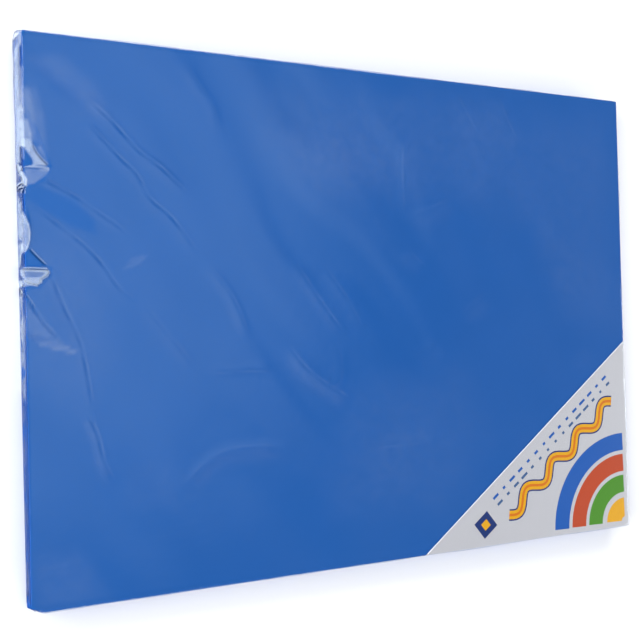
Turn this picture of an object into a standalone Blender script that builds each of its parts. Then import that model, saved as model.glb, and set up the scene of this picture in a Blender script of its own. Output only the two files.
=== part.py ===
"""A bagged pack of craft foam sheets: ten blue sheets and a corner card in a clear film bag.

The pack lies flat on its back. X runs along the long side of the sheets, Y along their
short side and Z up through the stack, so the front sheet is the top one. The origin is at
the middle of the underside. All lengths are in metres.
"""

import math

import bmesh
import bpy
from mathutils import Matrix, Vector

# Foam sheets
SHEET_COUNT = 10
SHEET_LENGTH = 0.600
SHEET_WIDTH = 0.450
SHEET_THICKNESS = 0.002
CRUSH_LENGTH = 0.009  # how far the crushed lower left corner reaches along X
CRUSH_WIDTH = 0.005  # and along Y

# How the stack has settled: the back sheet has slid and turned by this much
SLIDE_LEFT = 0.0031
SLIDE_UP = 0.0007
FAN_ANGLE = math.radians(0.38)
EDGE_SCATTER = 0.0004  # how far any one sheet strays from that even fan
SCATTER_STEP_X = 2.4  # radians from one sheet to the next, along X
SCATTER_STEP_Y = 3.9  # and along Y

# Corner card
CARD_LENGTH = 0.249
CARD_WIDTH = 0.194
CARD_THICKNESS = 0.0003
CARD_INSET = 0.0006  # from the front sheet's two edges

# Film bag
FILM_WALL = 0.0002
FILM_EDGE_RADIUS = 0.0004
FILM_EDGE_STEPS = 2
LIP_OVERLAP = 0.016  # how far the two lips of the mouth overlap on the left end

# The space between two pieces that touch
CLEARANCE = 0.0003

# How far a cutter reaches past the surface that it cuts through
CUT_PAST = 0.004

FOAM_BLUE = (0.038, 0.136, 0.413, 1.0)
CARD_WHITE = (0.78, 0.79, 0.80, 1.0)
FILM_CLEAR = (0.90, 0.93, 0.96, 1.0)


def clear_scene():
    """Removes whatever the scene holds."""
    for thing in list(bpy.data.objects):
        bpy.data.objects.remove(thing, do_unlink=True)


def new_collection(name):
    """Makes a collection in the scene."""
    collection = bpy.data.collections.new(name)
    bpy.context.scene.collection.children.link(collection)
    return collection


def make_material(name, colour, roughness, alpha=1.0):
    """Makes a plain Principled material of one colour."""
    material = bpy.data.materials.new(name)
    material.use_nodes = True
    shader = material.node_tree.nodes["Principled BSDF"]
    shader.inputs["Base Color"].default_value = colour
    shader.inputs["Roughness"].default_value = roughness
    shader.inputs["Metallic"].default_value = 0.0
    shader.inputs["Alpha"].default_value = alpha
    return material


def plate_mesh(name, outline, thickness):
    """Makes a flat plate from its outline, with its mid-plane at Z = 0."""
    curve = bpy.data.curves.new(name, "CURVE")
    curve.dimensions = "2D"
    curve.fill_mode = "BOTH"
    curve.extrude = thickness / 2
    spline = curve.splines.new("POLY")
    spline.points.add(len(outline) - 1)
    for point, (x, y) in zip(spline.points, outline):
        point.co = (x, y, 0.0, 1.0)
    spline.use_cyclic_u = True
    drawn = bpy.data.objects.new(name, curve)
    bpy.context.scene.collection.objects.link(drawn)
    graph = bpy.context.evaluated_depsgraph_get()
    mesh = bpy.data.meshes.new_from_object(drawn.evaluated_get(graph))
    bpy.data.objects.remove(drawn, do_unlink=True)
    bpy.data.curves.remove(curve)
    plate = bmesh.new()
    plate.from_mesh(mesh)
    bmesh.ops.remove_doubles(plate, verts=plate.verts, dist=1e-6)
    bmesh.ops.recalc_face_normals(plate, faces=plate.faces)
    plate.to_mesh(mesh)
    plate.free()
    mesh.name = name
    return mesh


def box_mesh(name, low, high):
    """Makes a box between two corners."""
    low, high = Vector(low), Vector(high)
    size = high - low
    place = Matrix.Translation((low + high) / 2) @ Matrix.Diagonal((*size, 1.0))
    mesh = bpy.data.meshes.new(name)
    box = bmesh.new()
    bmesh.ops.create_cube(box, size=1.0, matrix=place)
    box.to_mesh(mesh)
    box.free()
    return mesh


def add_part(name, mesh, collection, parent, material, location=(0, 0, 0), turn=0.0):
    """Adds one named piece of the pack."""
    part = bpy.data.objects.new(name, mesh)
    collection.objects.link(part)
    part.parent = parent
    part.location = location
    part.rotation_euler = (0.0, 0.0, turn)
    if not mesh.materials:
        mesh.materials.append(material)
    return part


def add_cutter(name, mesh, collection, parent):
    """Adds a cutter, which shapes a piece and isn't one itself."""
    cutter = bpy.data.objects.new(name, mesh)
    collection.objects.link(cutter)
    cutter.parent = parent
    cutter.hide_render = True
    cutter.display_type = "WIRE"
    return cutter


def cut(part, cutter):
    """Takes the cutter's shape out of a piece."""
    modifier = part.modifiers.new(cutter.name, "BOOLEAN")
    modifier.operation = "DIFFERENCE"
    modifier.solver = "EXACT"
    modifier.object = cutter


class Stack:
    """Where every layer of the pack lies, with the front sheet's centre at X = Y = 0."""

    def __init__(self):
        self.back_sheet_base = FILM_WALL + CLEARANCE
        layer = SHEET_THICKNESS + CLEARANCE
        self.front_sheet_base = self.back_sheet_base + (SHEET_COUNT - 1) * layer
        self.card_base = self.front_sheet_base + SHEET_THICKNESS + CLEARANCE
        self.film_ceiling = self.card_base + CARD_THICKNESS + CLEARANCE
        self.top = self.film_ceiling + FILM_WALL
        self.lip_top = self.front_sheet_base
        corners = [c for i in range(SHEET_COUNT) for c in self.sheet_corners(i)]
        self.left = min(c.x for c in corners)
        self.right = max(c.x for c in corners)
        self.lower = min(c.y for c in corners)
        self.upper = max(c.y for c in corners)

    def sheet_place(self, index):
        """Centre, height and turn of a sheet, counted from the front one."""
        share = index / max(SHEET_COUNT - 1, 1)
        x = -SLIDE_LEFT * share + EDGE_SCATTER * math.sin(SCATTER_STEP_X * index)
        y = SLIDE_UP * share + EDGE_SCATTER * math.sin(SCATTER_STEP_Y * index)
        drop = index * (SHEET_THICKNESS + CLEARANCE)
        z = self.front_sheet_base - drop + SHEET_THICKNESS / 2
        return Vector((x, y, z)), FAN_ANGLE * share

    def sheet_corners(self, index):
        """The four corners of a sheet's rectangle as it lies."""
        centre, turn = self.sheet_place(index)
        x, y = SHEET_LENGTH / 2, SHEET_WIDTH / 2
        signs = ((-1, -1), (1, -1), (1, 1), (-1, 1))
        spin = Matrix.Rotation(turn, 3, "Z")
        return [centre + spin @ Vector((x * a, y * b, 0.0)) for a, b in signs]


def make_sheets(stack, collection, parent):
    """The foam sheets: one rectangle with a crushed corner, laid again and again."""
    x, y = SHEET_LENGTH / 2, SHEET_WIDTH / 2
    outline = [
        (-x + CRUSH_LENGTH, -y),
        (x, -y),
        (x, y),
        (-x, y),
        (-x, -y + CRUSH_WIDTH),
    ]
    foam = make_material("eva_foam_blue", FOAM_BLUE, 0.75)
    mesh = plate_mesh("foam_sheet", outline, SHEET_THICKNESS)
    for index in range(SHEET_COUNT):
        centre, turn = stack.sheet_place(index)
        name = f"foam_sheet_{index + 1:02d}"
        add_part(name, mesh, collection, parent, foam, centre, turn)


def make_card(stack, collection, parent):
    """The three-cornered card on the front sheet's lower right corner."""
    right = SHEET_LENGTH / 2 - CARD_INSET
    lower = -SHEET_WIDTH / 2 + CARD_INSET
    outline = [
        (right - CARD_LENGTH, lower),
        (right, lower),
        (right, lower + CARD_WIDTH),
    ]
    card = make_material("coated_card_white", CARD_WHITE, 0.45)
    mesh = plate_mesh("corner_card", outline, CARD_THICKNESS)
    middle = (0.0, 0.0, stack.card_base + CARD_THICKNESS / 2)
    add_part("corner_card", mesh, collection, parent, card, middle)


def cavity_mesh(stack, inner_lip, outer_lip):
    """The room inside the film with the slot between the two lips, as one cutter.

    inner_lip and outer_lip are the X places of the lips' inner faces.
    """
    right = stack.right + CLEARANCE
    lower = stack.lower - CLEARANCE
    upper = stack.upper + CLEARANCE
    slot_right = inner_lip - FILM_WALL
    profile = [
        (inner_lip, FILM_WALL),
        (right, FILM_WALL),
        (right, stack.film_ceiling),
        (outer_lip, stack.film_ceiling),
        (outer_lip, -CUT_PAST),
        (slot_right, -CUT_PAST),
        (slot_right, stack.lip_top),
        (inner_lip, stack.lip_top),
    ]
    mesh = plate_mesh("room_inside", profile, upper - lower)
    stand = Matrix.Rotation(math.radians(90), 4, "X")
    middle = Matrix.Translation((0.0, (lower + upper) / 2, 0.0))
    mesh.transform(middle @ stand)
    return mesh


def make_bag(stack, collection, cutters, parent):
    """The film bag, whose front and back lips overlap on the pack's left end."""
    inner_lip = stack.left - CLEARANCE
    outer_lip = inner_lip - FILM_WALL - CLEARANCE
    low = Vector((outer_lip - FILM_WALL, stack.lower - CLEARANCE - FILM_WALL, 0.0))
    high = Vector(
        (
            stack.right + CLEARANCE + FILM_WALL,
            stack.upper + CLEARANCE + FILM_WALL,
            stack.top,
        )
    )
    film = make_material("clear_polypropylene_film", FILM_CLEAR, 0.12, 0.25)
    bag = add_part("clear_bag", box_mesh("clear_bag", low, high), collection, parent, film)
    rounding = bag.modifiers.new("film_edges", "BEVEL")
    rounding.width = FILM_EDGE_RADIUS
    rounding.segments = FILM_EDGE_STEPS
    rounding.limit_method = "ANGLE"

    room = add_cutter(
        "room_inside", cavity_mesh(stack, inner_lip, outer_lip), cutters, parent
    )
    cut(bag, room)

    lip_end = stack.lip_top - LIP_OVERLAP
    past = Vector((CUT_PAST, CUT_PAST, CUT_PAST))
    trim_low = low - past
    trim_high = Vector((inner_lip - FILM_WALL, high.y + CUT_PAST, lip_end))
    trim = add_cutter("lip_trim", box_mesh("lip_trim", trim_low, trim_high), cutters, parent)
    cut(bag, trim)
    return (low + high) / 2


def build():
    """Builds the pack and centres it over its origin."""
    clear_scene()
    parts = new_collection("foam_sheet_pack")
    cutters = new_collection("cutters")
    origin = bpy.data.objects.new("pack_origin", None)
    parts.objects.link(origin)
    stack = Stack()
    make_sheets(stack, parts, origin)
    make_card(stack, parts, origin)
    middle = make_bag(stack, parts, cutters, origin)
    origin.location = (-middle.x, -middle.y, 0.0)
    bpy.context.view_layer.update()


build()
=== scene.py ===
"""The looks of a bagged pack of craft foam sheets.

Ten blue foam sheets lie on one another with a three-cornered printed card on the front one,
all inside a clear film bag. The pack lies on its back on a pale floor, and the camera looks
down on its front. Lengths are in metres, unless a name or comment says mm.
"""

import logging
import math
import random
from dataclasses import dataclass, field
from enum import Enum
from typing import ClassVar, Sequence

import bmesh
import bpy
import numpy as np
from mathutils import Matrix, Vector


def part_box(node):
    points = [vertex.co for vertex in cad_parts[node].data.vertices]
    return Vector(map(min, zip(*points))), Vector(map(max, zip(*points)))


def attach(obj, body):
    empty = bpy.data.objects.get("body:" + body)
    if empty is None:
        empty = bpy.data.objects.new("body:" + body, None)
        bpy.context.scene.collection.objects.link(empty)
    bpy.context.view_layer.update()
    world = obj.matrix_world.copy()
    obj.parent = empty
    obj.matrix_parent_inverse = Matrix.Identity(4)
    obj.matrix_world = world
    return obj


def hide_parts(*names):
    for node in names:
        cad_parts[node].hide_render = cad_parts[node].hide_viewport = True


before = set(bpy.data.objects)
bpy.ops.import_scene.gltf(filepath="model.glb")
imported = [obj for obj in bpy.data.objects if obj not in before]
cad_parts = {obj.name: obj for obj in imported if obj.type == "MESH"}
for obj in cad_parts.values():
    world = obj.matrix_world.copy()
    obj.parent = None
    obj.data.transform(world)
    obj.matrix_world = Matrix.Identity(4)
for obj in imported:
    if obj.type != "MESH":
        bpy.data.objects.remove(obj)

LOG = logging.getLogger("foam_pack")
MM = 0.001
CAMERA_STAND = (-0.3599, -0.0167, 0.6813)  # from the middle of the front sheet's face
Point = tuple[float, float]
Colour = tuple[float, float, float, float]
COLOURS = {"data_type": "RGBA"}  # makes a Mix node mix colours, on its inputs 6 and 7
Lengths = float | np.ndarray
HALF_FACE: Point = (300.0, 225.0)  # half the front face's length and width, in mm


class Slot(Enum):
    """Names for the foam, card and film materials, which nothing here uses."""

    FOAM = "foam"
    CARD = "card"
    FILM = "film"


def linear(colour: str) -> Colour:
    """Turns an sRGB hex colour to linear light.

    Args:
        colour: The colour as "#rrggbb".

    Returns:
        The linear red, green and blue, with an alpha of 1.
    """
    shares = [int(colour[i : i + 2], 16) / 255 for i in (1, 3, 5)]
    lit = [s / 12.92 if s <= 0.04045 else ((s + 0.055) / 1.055) ** 2.4 for s in shares]
    return (*lit, 1.0)


def per_mm(size: float) -> float:
    """Returns the scale of a pattern whose features are this many mm across."""
    return 1 / (size * MM)


def add_node(
    tree: bpy.types.NodeTree,
    kind: str,
    settings: dict[str, object] | None = None,
    inputs: dict[str | int, object] | None = None,
) -> bpy.types.Node:
    """Adds a node with its settings and links.

    Args:
        tree: The material's, world's or Geometry Nodes tree.
        kind: The node's type.
        settings: The node's own properties.
        inputs: A value, or the socket to link from, for each input by name or number.

    Returns:
        The new node.
    """
    node = tree.nodes.new(kind)
    for name, value in (settings or {}).items():
        setattr(node, name, value)
    for key, value in (inputs or {}).items():
        if isinstance(value, bpy.types.NodeSocket):
            tree.links.new(value, node.inputs[key])
        else:
            node.inputs[key].default_value = value
    return node


def empty_material(name: str) -> tuple[bpy.types.Material, bpy.types.NodeTree]:
    """Makes a material with no nodes.

    Args:
        name: The material's name.

    Returns:
        The material and its node tree.
    """
    material = bpy.data.materials.new(name)
    material.use_nodes = True
    material.node_tree.nodes.clear()
    return material, material.node_tree


@dataclass(frozen=True)
class FoamFinish:
    """EVA craft foam, cast and skived to a sheet: a soft matte face of fine closed cells."""

    name: str = "eva_craft_foam_blue"
    face: str = "#1a5ba7"
    cloud: str = "#1758a2"
    # partly painted light: the cut sides' own open-cell colour, made brighter all round as painted light
    # for the left lamp's light on the edges
    cut: str = "#226ed4"
    cell_mm: float = 0.9  # the real cells are about 0.2 mm and too fine to show
    cloud_mm: float = 70.0
    roughness: float = 0.72
    specular: float = 0.14  # of the faces; the open cells of a cut side mirror nothing
    cell_depth: float = 0.00006
    cell_strength: float = 0.1
    sheen: float = 0.05

    def make(self) -> bpy.types.Material:
        """Makes the material.

        Returns:
            A matte blue with faint clouds from the skiving and a pimpled closed-cell skin.
        """
        material, tree = empty_material(self.name)
        place = add_node(tree, "ShaderNodeTexCoord").outputs["Object"]
        clouds = add_node(
            tree,
            "ShaderNodeTexNoise",
            {},
            {"Vector": place, "Scale": per_mm(self.cloud_mm), "Detail": 3.0, "Roughness": 0.5},
        )
        cells = add_node(
            tree,
            "ShaderNodeTexVoronoi",
            {"feature": "F1"},
            {"Vector": place, "Scale": per_mm(self.cell_mm)},
        )
        edge = add_node(tree, "ShaderNodeAttribute", {"attribute_name": "cut_edge"})
        face = add_node(
            tree,
            "ShaderNodeMix",
            COLOURS,
            {0: clouds.outputs["Fac"], 6: linear(self.face), 7: linear(self.cloud)},
        )
        colour = add_node(
            tree,
            "ShaderNodeMix",
            COLOURS,
            {0: edge.outputs["Fac"], 6: face.outputs[2], 7: linear(self.cut)},
        )
        gleam = add_node(
            tree,
            "ShaderNodeMath",
            {"operation": "MULTIPLY_ADD"},
            {0: edge.outputs["Fac"], 1: -self.specular, 2: self.specular},
        )
        skin = add_node(
            tree,
            "ShaderNodeBump",
            {},
            {
                "Strength": self.cell_strength,
                "Distance": self.cell_depth,
                "Height": cells.outputs["Distance"],
            },
        )
        shader = add_node(
            tree,
            "ShaderNodeBsdfPrincipled",
            {},
            {
                "Base Color": colour.outputs[2],
                "Roughness": self.roughness,
                "Specular IOR Level": gleam.outputs[0],
                "Sheen Weight": self.sheen,
                "Sheen Roughness": 0.5,
                "Normal": skin.outputs["Normal"],
            },
        )
        add_node(tree, "ShaderNodeOutputMaterial", {}, {"Surface": shader.outputs[0]})
        return material


@dataclass(frozen=True)
class PaperFinish:
    """Coated paper or card: a calendered white surface with a faint fibre mottle."""

    name: str
    colour: str
    mottle: str
    roughness: float = 0.42
    specular: float = 0.5
    fibre_mm: float = 1.6  # fibres are finer, and drawn as coarse as they need to show
    fibre_depth: float = 0.00002
    fibre_strength: float = 0.3

    def make(self) -> bpy.types.Material:
        """Makes the material.

        Returns:
            A satin surface with a slight mottle of colour and height.
        """
        material, tree = empty_material(self.name)
        place = add_node(tree, "ShaderNodeTexCoord").outputs["Object"]
        fibre = add_node(
            tree,
            "ShaderNodeTexNoise",
            {},
            {"Vector": place, "Scale": per_mm(self.fibre_mm), "Detail": 4.0, "Roughness": 0.6},
        )
        colour = add_node(
            tree,
            "ShaderNodeMix",
            COLOURS,
            {0: fibre.outputs["Fac"], 6: linear(self.colour), 7: linear(self.mottle)},
        )
        relief = add_node(
            tree,
            "ShaderNodeBump",
            {},
            {
                "Strength": self.fibre_strength,
                "Distance": self.fibre_depth,
                "Height": fibre.outputs["Fac"],
            },
        )
        shader = add_node(
            tree,
            "ShaderNodeBsdfPrincipled",
            {},
            {
                "Base Color": colour.outputs[2],
                "Roughness": self.roughness,
                "Specular IOR Level": self.specular,
                "Normal": relief.outputs["Normal"],
            },
        )
        add_node(tree, "ShaderNodeOutputMaterial", {}, {"Surface": shader.outputs[0]})
        return material


@dataclass(frozen=True)
class FilmFinish:
    """Cast polypropylene film: nearly invisible face on, mirror-like at a slant, whitish in its folds with
    painted highlights and painted shade.
    """

    name: str = "clear_polypropylene_film"
    tint: str = "#fdfeff"
    shine: str = "#f4f8ff"
    # the pale diffuse colour: the film's own slight whitening, and painted highlights where its folds and
    # shoulders would mirror the lamps
    haze_and_highlight: str = "#d8e8fd"
    face_on: float = 0.045  # the share of light that one face mirrors, head on
    grazing: float = 0.32  # and how much more it mirrors at a slant, below a hard sheet's
    grazing_power: float = 7.0
    edge_shade: str = "#33589c"  # painted shade: the dark blue that what shows through turns to edge on, at the film's outline
    edge_power: float = 10.0
    shadow: str = "#000000"
    crease_shade: float = 1.6  # how much darker a fold's dark line is, times the line's strength
    darkest_crease: float = 0.22
    crease_dull: float = 32.0  # and how much less it mirrors, which leaves a deeper blue
    streak_mm: float = 9.0
    streak_range: Point = (0.75, 1.22)  # how uneven the pale diffuse share is, its whitening and painted highlights alike
    crease_pale: float = 0.7  # and how strong the painted highlight line beside it is
    roughness: float = 0.10
    crinkle_mm: float = 9.0
    crinkle_depth: float = 0.00022
    crinkle_strength: float = 0.25
    pale_beside: float = 1.3  # mm from a fold's line to the painted highlight line beside it
    pale_width: float = 1.9
    dark_beside: float = -1.1
    dark_width: float = 2.4

    def stripe(
        self, tree: bpy.types.NodeTree, across: bpy.types.NodeSocket, beside: float, width: float
    ) -> bpy.types.NodeSocket:
        """Draws one soft stripe that runs along the folds.

        Args:
            tree: The material's tree.
            across: How many mm each point lies to one side of the nearest fold.
            beside: How far the stripe lies from the fold, in mm.
            width: Half its width.

        Returns:
            A share that is 1 in the stripe's middle.
        """
        off = add_node(tree, "ShaderNodeMath", {"operation": "SUBTRACT"}, {0: across, 1: beside})
        away = add_node(tree, "ShaderNodeMath", {"operation": "ABSOLUTE"}, {0: off.outputs[0]})
        share = add_node(
            tree,
            "ShaderNodeMapRange",
            {"interpolation_type": "SMOOTHSTEP"},
            {"Value": away.outputs[0], "From Min": width, "From Max": 0.0},
        )
        return share.outputs[0]

    def make(self) -> bpy.types.Material:
        """Makes the material.

        Returns:
            A clear film that mirrors by the slant of its surface, whitish with painted highlights and dark
            with painted shade where it is creased.
        """
        material, tree = empty_material(self.name)
        place = add_node(tree, "ShaderNodeTexCoord").outputs["Object"]
        across, fold, haze_and_highlight, gloss = (
            add_node(tree, "ShaderNodeAttribute", {"attribute_name": name}).outputs["Fac"]
            for name in ("across", "fold", "haze_and_highlight", "gloss")
        )
        streaks = add_node(
            tree,
            "ShaderNodeTexNoise",
            {},
            {
                "Vector": place,
                "Scale": per_mm(self.streak_mm),
                "Detail": 2.0,
                "Roughness": 0.5,
                "Distortion": 0.7,
            },
        )
        patchy = add_node(
            tree,
            "ShaderNodeMapRange",
            {},
            {
                "Value": streaks.outputs["Fac"],
                "From Min": 0.3,
                "From Max": 0.7,
                "To Min": self.streak_range[0],
                "To Max": self.streak_range[1],
            },
        )
        # painted highlight: the pale share, partly the film's own whitening, mostly light painted onto its
        # folds, shoulders and patches
        patchy_whitening_and_highlight = add_node(
            tree, "ShaderNodeMath", {"operation": "MULTIPLY"}, {0: patchy.outputs[0], 1: haze_and_highlight}
        )
        # painted highlight and painted shade: a pale line and a dark line beside each fold
        pale = self.stripe(tree, across, self.pale_beside, self.pale_width)
        dark = self.stripe(tree, across, self.dark_beside, self.dark_width)
        paler = add_node(
            tree, "ShaderNodeMath", {"operation": "MULTIPLY"}, {0: fold, 1: self.crease_pale}
        )
        drawn = add_node(
            tree,
            "ShaderNodeMath",
            {"operation": "MULTIPLY_ADD", "use_clamp": True},
            {0: pale, 1: paler.outputs[0], 2: patchy_whitening_and_highlight.outputs[0]},
        )
        shaded = add_node(tree, "ShaderNodeMath", {"operation": "MULTIPLY"}, {0: dark, 1: fold})
        darker = add_node(
            tree,
            "ShaderNodeMath",
            {"operation": "MULTIPLY"},
            {0: shaded.outputs[0], 1: self.crease_shade},
        )
        darkest = add_node(
            tree,
            "ShaderNodeMath",
            {"operation": "MINIMUM"},
            {0: darker.outputs[0], 1: self.darkest_crease},
        )
        crinkle = add_node(
            tree,
            "ShaderNodeTexNoise",
            {},
            {
                "Vector": place,
                "Scale": per_mm(self.crinkle_mm),
                "Detail": 1.0,
                "Roughness": 0.45,
                "Distortion": 0.6,
            },
        )
        wrinkled = add_node(
            tree,
            "ShaderNodeBump",
            {},
            {
                "Strength": self.crinkle_strength,
                "Distance": self.crinkle_depth,
                "Height": crinkle.outputs["Fac"],
            },
        ).outputs["Normal"]
        slant = add_node(tree, "ShaderNodeLayerWeight", {}, {"Blend": 0.5, "Normal": wrinkled})
        steep = add_node(
            tree,
            "ShaderNodeMath",
            {"operation": "POWER"},
            {0: slant.outputs["Facing"], 1: self.grazing_power},
        )
        most = add_node(
            tree,
            "ShaderNodeMath",
            {"operation": "MULTIPLY_ADD"},
            {0: steep.outputs[0], 1: self.grazing, 2: self.face_on},
        )
        shiny = add_node(
            tree, "ShaderNodeMath", {"operation": "MULTIPLY"}, {0: most.outputs[0], 1: gloss}
        )
        dull = add_node(
            tree,
            "ShaderNodeMath",
            {"operation": "MULTIPLY", "use_clamp": True},
            {0: shaded.outputs[0], 1: self.crease_dull},
        )
        kept = add_node(
            tree, "ShaderNodeMath", {"operation": "SUBTRACT"}, {0: 1.0, 1: dull.outputs[0]}
        )
        mirrored = add_node(
            tree,
            "ShaderNodeMath",
            {"operation": "MULTIPLY"},
            {0: shiny.outputs[0], 1: kept.outputs[0]},
        )
        # painted shade: the see-through colour darkens to a blue at the film's outline
        edge_on = add_node(
            tree,
            "ShaderNodeMath",
            {"operation": "POWER"},
            {0: slant.outputs["Facing"], 1: self.edge_power},
        )
        slanted = add_node(
            tree,
            "ShaderNodeMix",
            COLOURS,
            {0: edge_on.outputs[0], 6: linear(self.tint), 7: linear(self.edge_shade)},
        )
        creased = add_node(
            tree,
            "ShaderNodeMix",
            COLOURS,
            {0: darkest.outputs[0], 6: slanted.outputs[2], 7: linear(self.shadow)},
        )
        through = add_node(tree, "ShaderNodeBsdfTransparent", {}, {"Color": creased.outputs[2]})
        mirror = add_node(
            tree,
            "ShaderNodeBsdfGlossy",
            {},
            {"Color": linear(self.shine), "Roughness": self.roughness, "Normal": wrinkled},
        )
        clear = add_node(
            tree,
            "ShaderNodeMixShader",
            {},
            {0: mirrored.outputs[0], 1: through.outputs[0], 2: mirror.outputs[0]},
        )
        # a diffuse white that paints the highlights, and the film's slight whitening
        whitening_and_highlight = add_node(tree, "ShaderNodeBsdfDiffuse", {}, {"Color": linear(self.haze_and_highlight)})
        film = add_node(
            tree,
            "ShaderNodeMixShader",
            {},
            {0: drawn.outputs[0], 1: clear.outputs[0], 2: whitening_and_highlight.outputs[0]},
        )
        add_node(tree, "ShaderNodeOutputMaterial", {}, {"Surface": film.outputs[0]})
        return material


@dataclass(frozen=True)
class SheetPlace:
    """Where one sheet of the CAD model lies."""

    node: str
    corners: tuple[Vector, Vector, Vector, Vector]  # lower left, lower right, upper right, upper left
    outline: tuple[Vector, ...]
    low: float
    high: float

    def crushed(self, share: float) -> tuple[Vector, ...]:
        """Returns the outline with its crushed corner this share of the CAD one's size."""
        corner, *whole = self.corners
        return tuple(p if p in whole else corner + (p - corner) * share for p in self.outline)

    @classmethod
    def read(cls, node: str) -> "SheetPlace":
        """Reads a sheet's rectangle, cut corner and height from its CAD node.

        Args:
            node: The CAD node's name.

        Returns:
            The sheet's place.
        """
        points = {(round(v.co.x, 6), round(v.co.y, 6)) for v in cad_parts[node].data.vertices}
        flat = [Vector(p) for p in points]
        upper_left = max(flat, key=lambda p: p.y - p.x)
        upper_right = max(flat, key=lambda p: p.y + p.x)
        lower_right = max(flat, key=lambda p: p.x - p.y)
        lower_left = upper_left + lower_right - upper_right
        middle = (upper_left + lower_right) / 2
        outline = sorted(flat, key=lambda p: math.atan2(p.y - middle.y, p.x - middle.x))
        low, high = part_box(node)
        corners = (lower_left, lower_right, upper_right, upper_left)
        return cls(node, corners, tuple(outline), low.z, high.z)


def ring_mesh(name: str, outline: Sequence[Vector], spacing: float) -> bpy.types.Mesh:
    """Makes a closed ring of short edges, which a Geometry Nodes tree turns into a sheet.

    Args:
        name: The mesh's name.
        outline: Its corners in order.
        spacing: The most that two points on it may lie apart.

    Returns:
        The mesh.
    """
    points = []
    for here, after in zip(outline, (*outline[1:], outline[0])):
        runs = max(math.ceil((after - here).length / spacing), 1)
        points += [here.lerp(after, i / runs) for i in range(runs)]
    count = len(points)
    edges = [(i, (i + 1) % count) for i in range(count)]
    mesh = bpy.data.meshes.new(name)
    mesh.from_pydata([p.to_3d() for p in points], edges, [])
    return mesh


def path_mesh(points: Sequence[Vector]) -> bpy.types.Mesh:
    """Makes an open run of edges, which a Geometry Nodes tree turns into a mark.

    Args:
        points: Its points in order.

    Returns:
        The mesh.
    """
    edges = [(i, i + 1) for i in range(len(points) - 1)]
    mesh = bpy.data.meshes.new("path")
    mesh.from_pydata([p.to_3d() for p in points], edges, [])
    return mesh


def apply_tree(
    name: str, mesh: bpy.types.Mesh, tree: bpy.types.NodeTree, values: dict[str, object]
) -> bpy.types.Object:
    """Runs a Geometry Nodes tree on a mesh and keeps the result as a plain mesh.

    Args:
        name: The name of the finished piece.
        mesh: What the tree works on.
        tree: The Geometry Nodes tree.
        values: The tree's inputs by name.

    Returns:
        The finished piece, at the origin.
    """
    piece = bpy.data.objects.new(name, mesh)
    bpy.context.scene.collection.objects.link(piece)
    modifier = piece.modifiers.new(tree.name, "NODES")
    modifier.node_group = tree
    sockets = {s.name: s.identifier for s in tree.interface.items_tree if s.in_out == "INPUT"}
    for key, value in values.items():
        modifier[sockets[key]] = value
    graph = bpy.context.evaluated_depsgraph_get()
    made = bpy.data.meshes.new_from_object(piece.evaluated_get(graph))
    made.name = name
    made.shade_flat()
    piece.modifiers.remove(modifier)
    piece.data = made
    return piece


def new_tree(name: str, inputs: dict[str, tuple[str, object]]) -> tuple[bpy.types.NodeTree, bpy.types.Node]:
    """Starts a Geometry Nodes tree with named inputs.

    Args:
        name: The tree's name.
        inputs: Each input's socket type and default by its name.

    Returns:
        The tree and its Group Input node.
    """
    tree = bpy.data.node_groups.new(name, "GeometryNodeTree")
    tree.interface.new_socket("Geometry", in_out="INPUT", socket_type="NodeSocketGeometry")
    tree.interface.new_socket("Geometry", in_out="OUTPUT", socket_type="NodeSocketGeometry")
    for key, (kind, default) in inputs.items():
        socket = tree.interface.new_socket(key, in_out="INPUT", socket_type=kind)
        if default is not None:
            socket.default_value = default
    return tree, add_node(tree, "NodeGroupInput")


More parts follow.
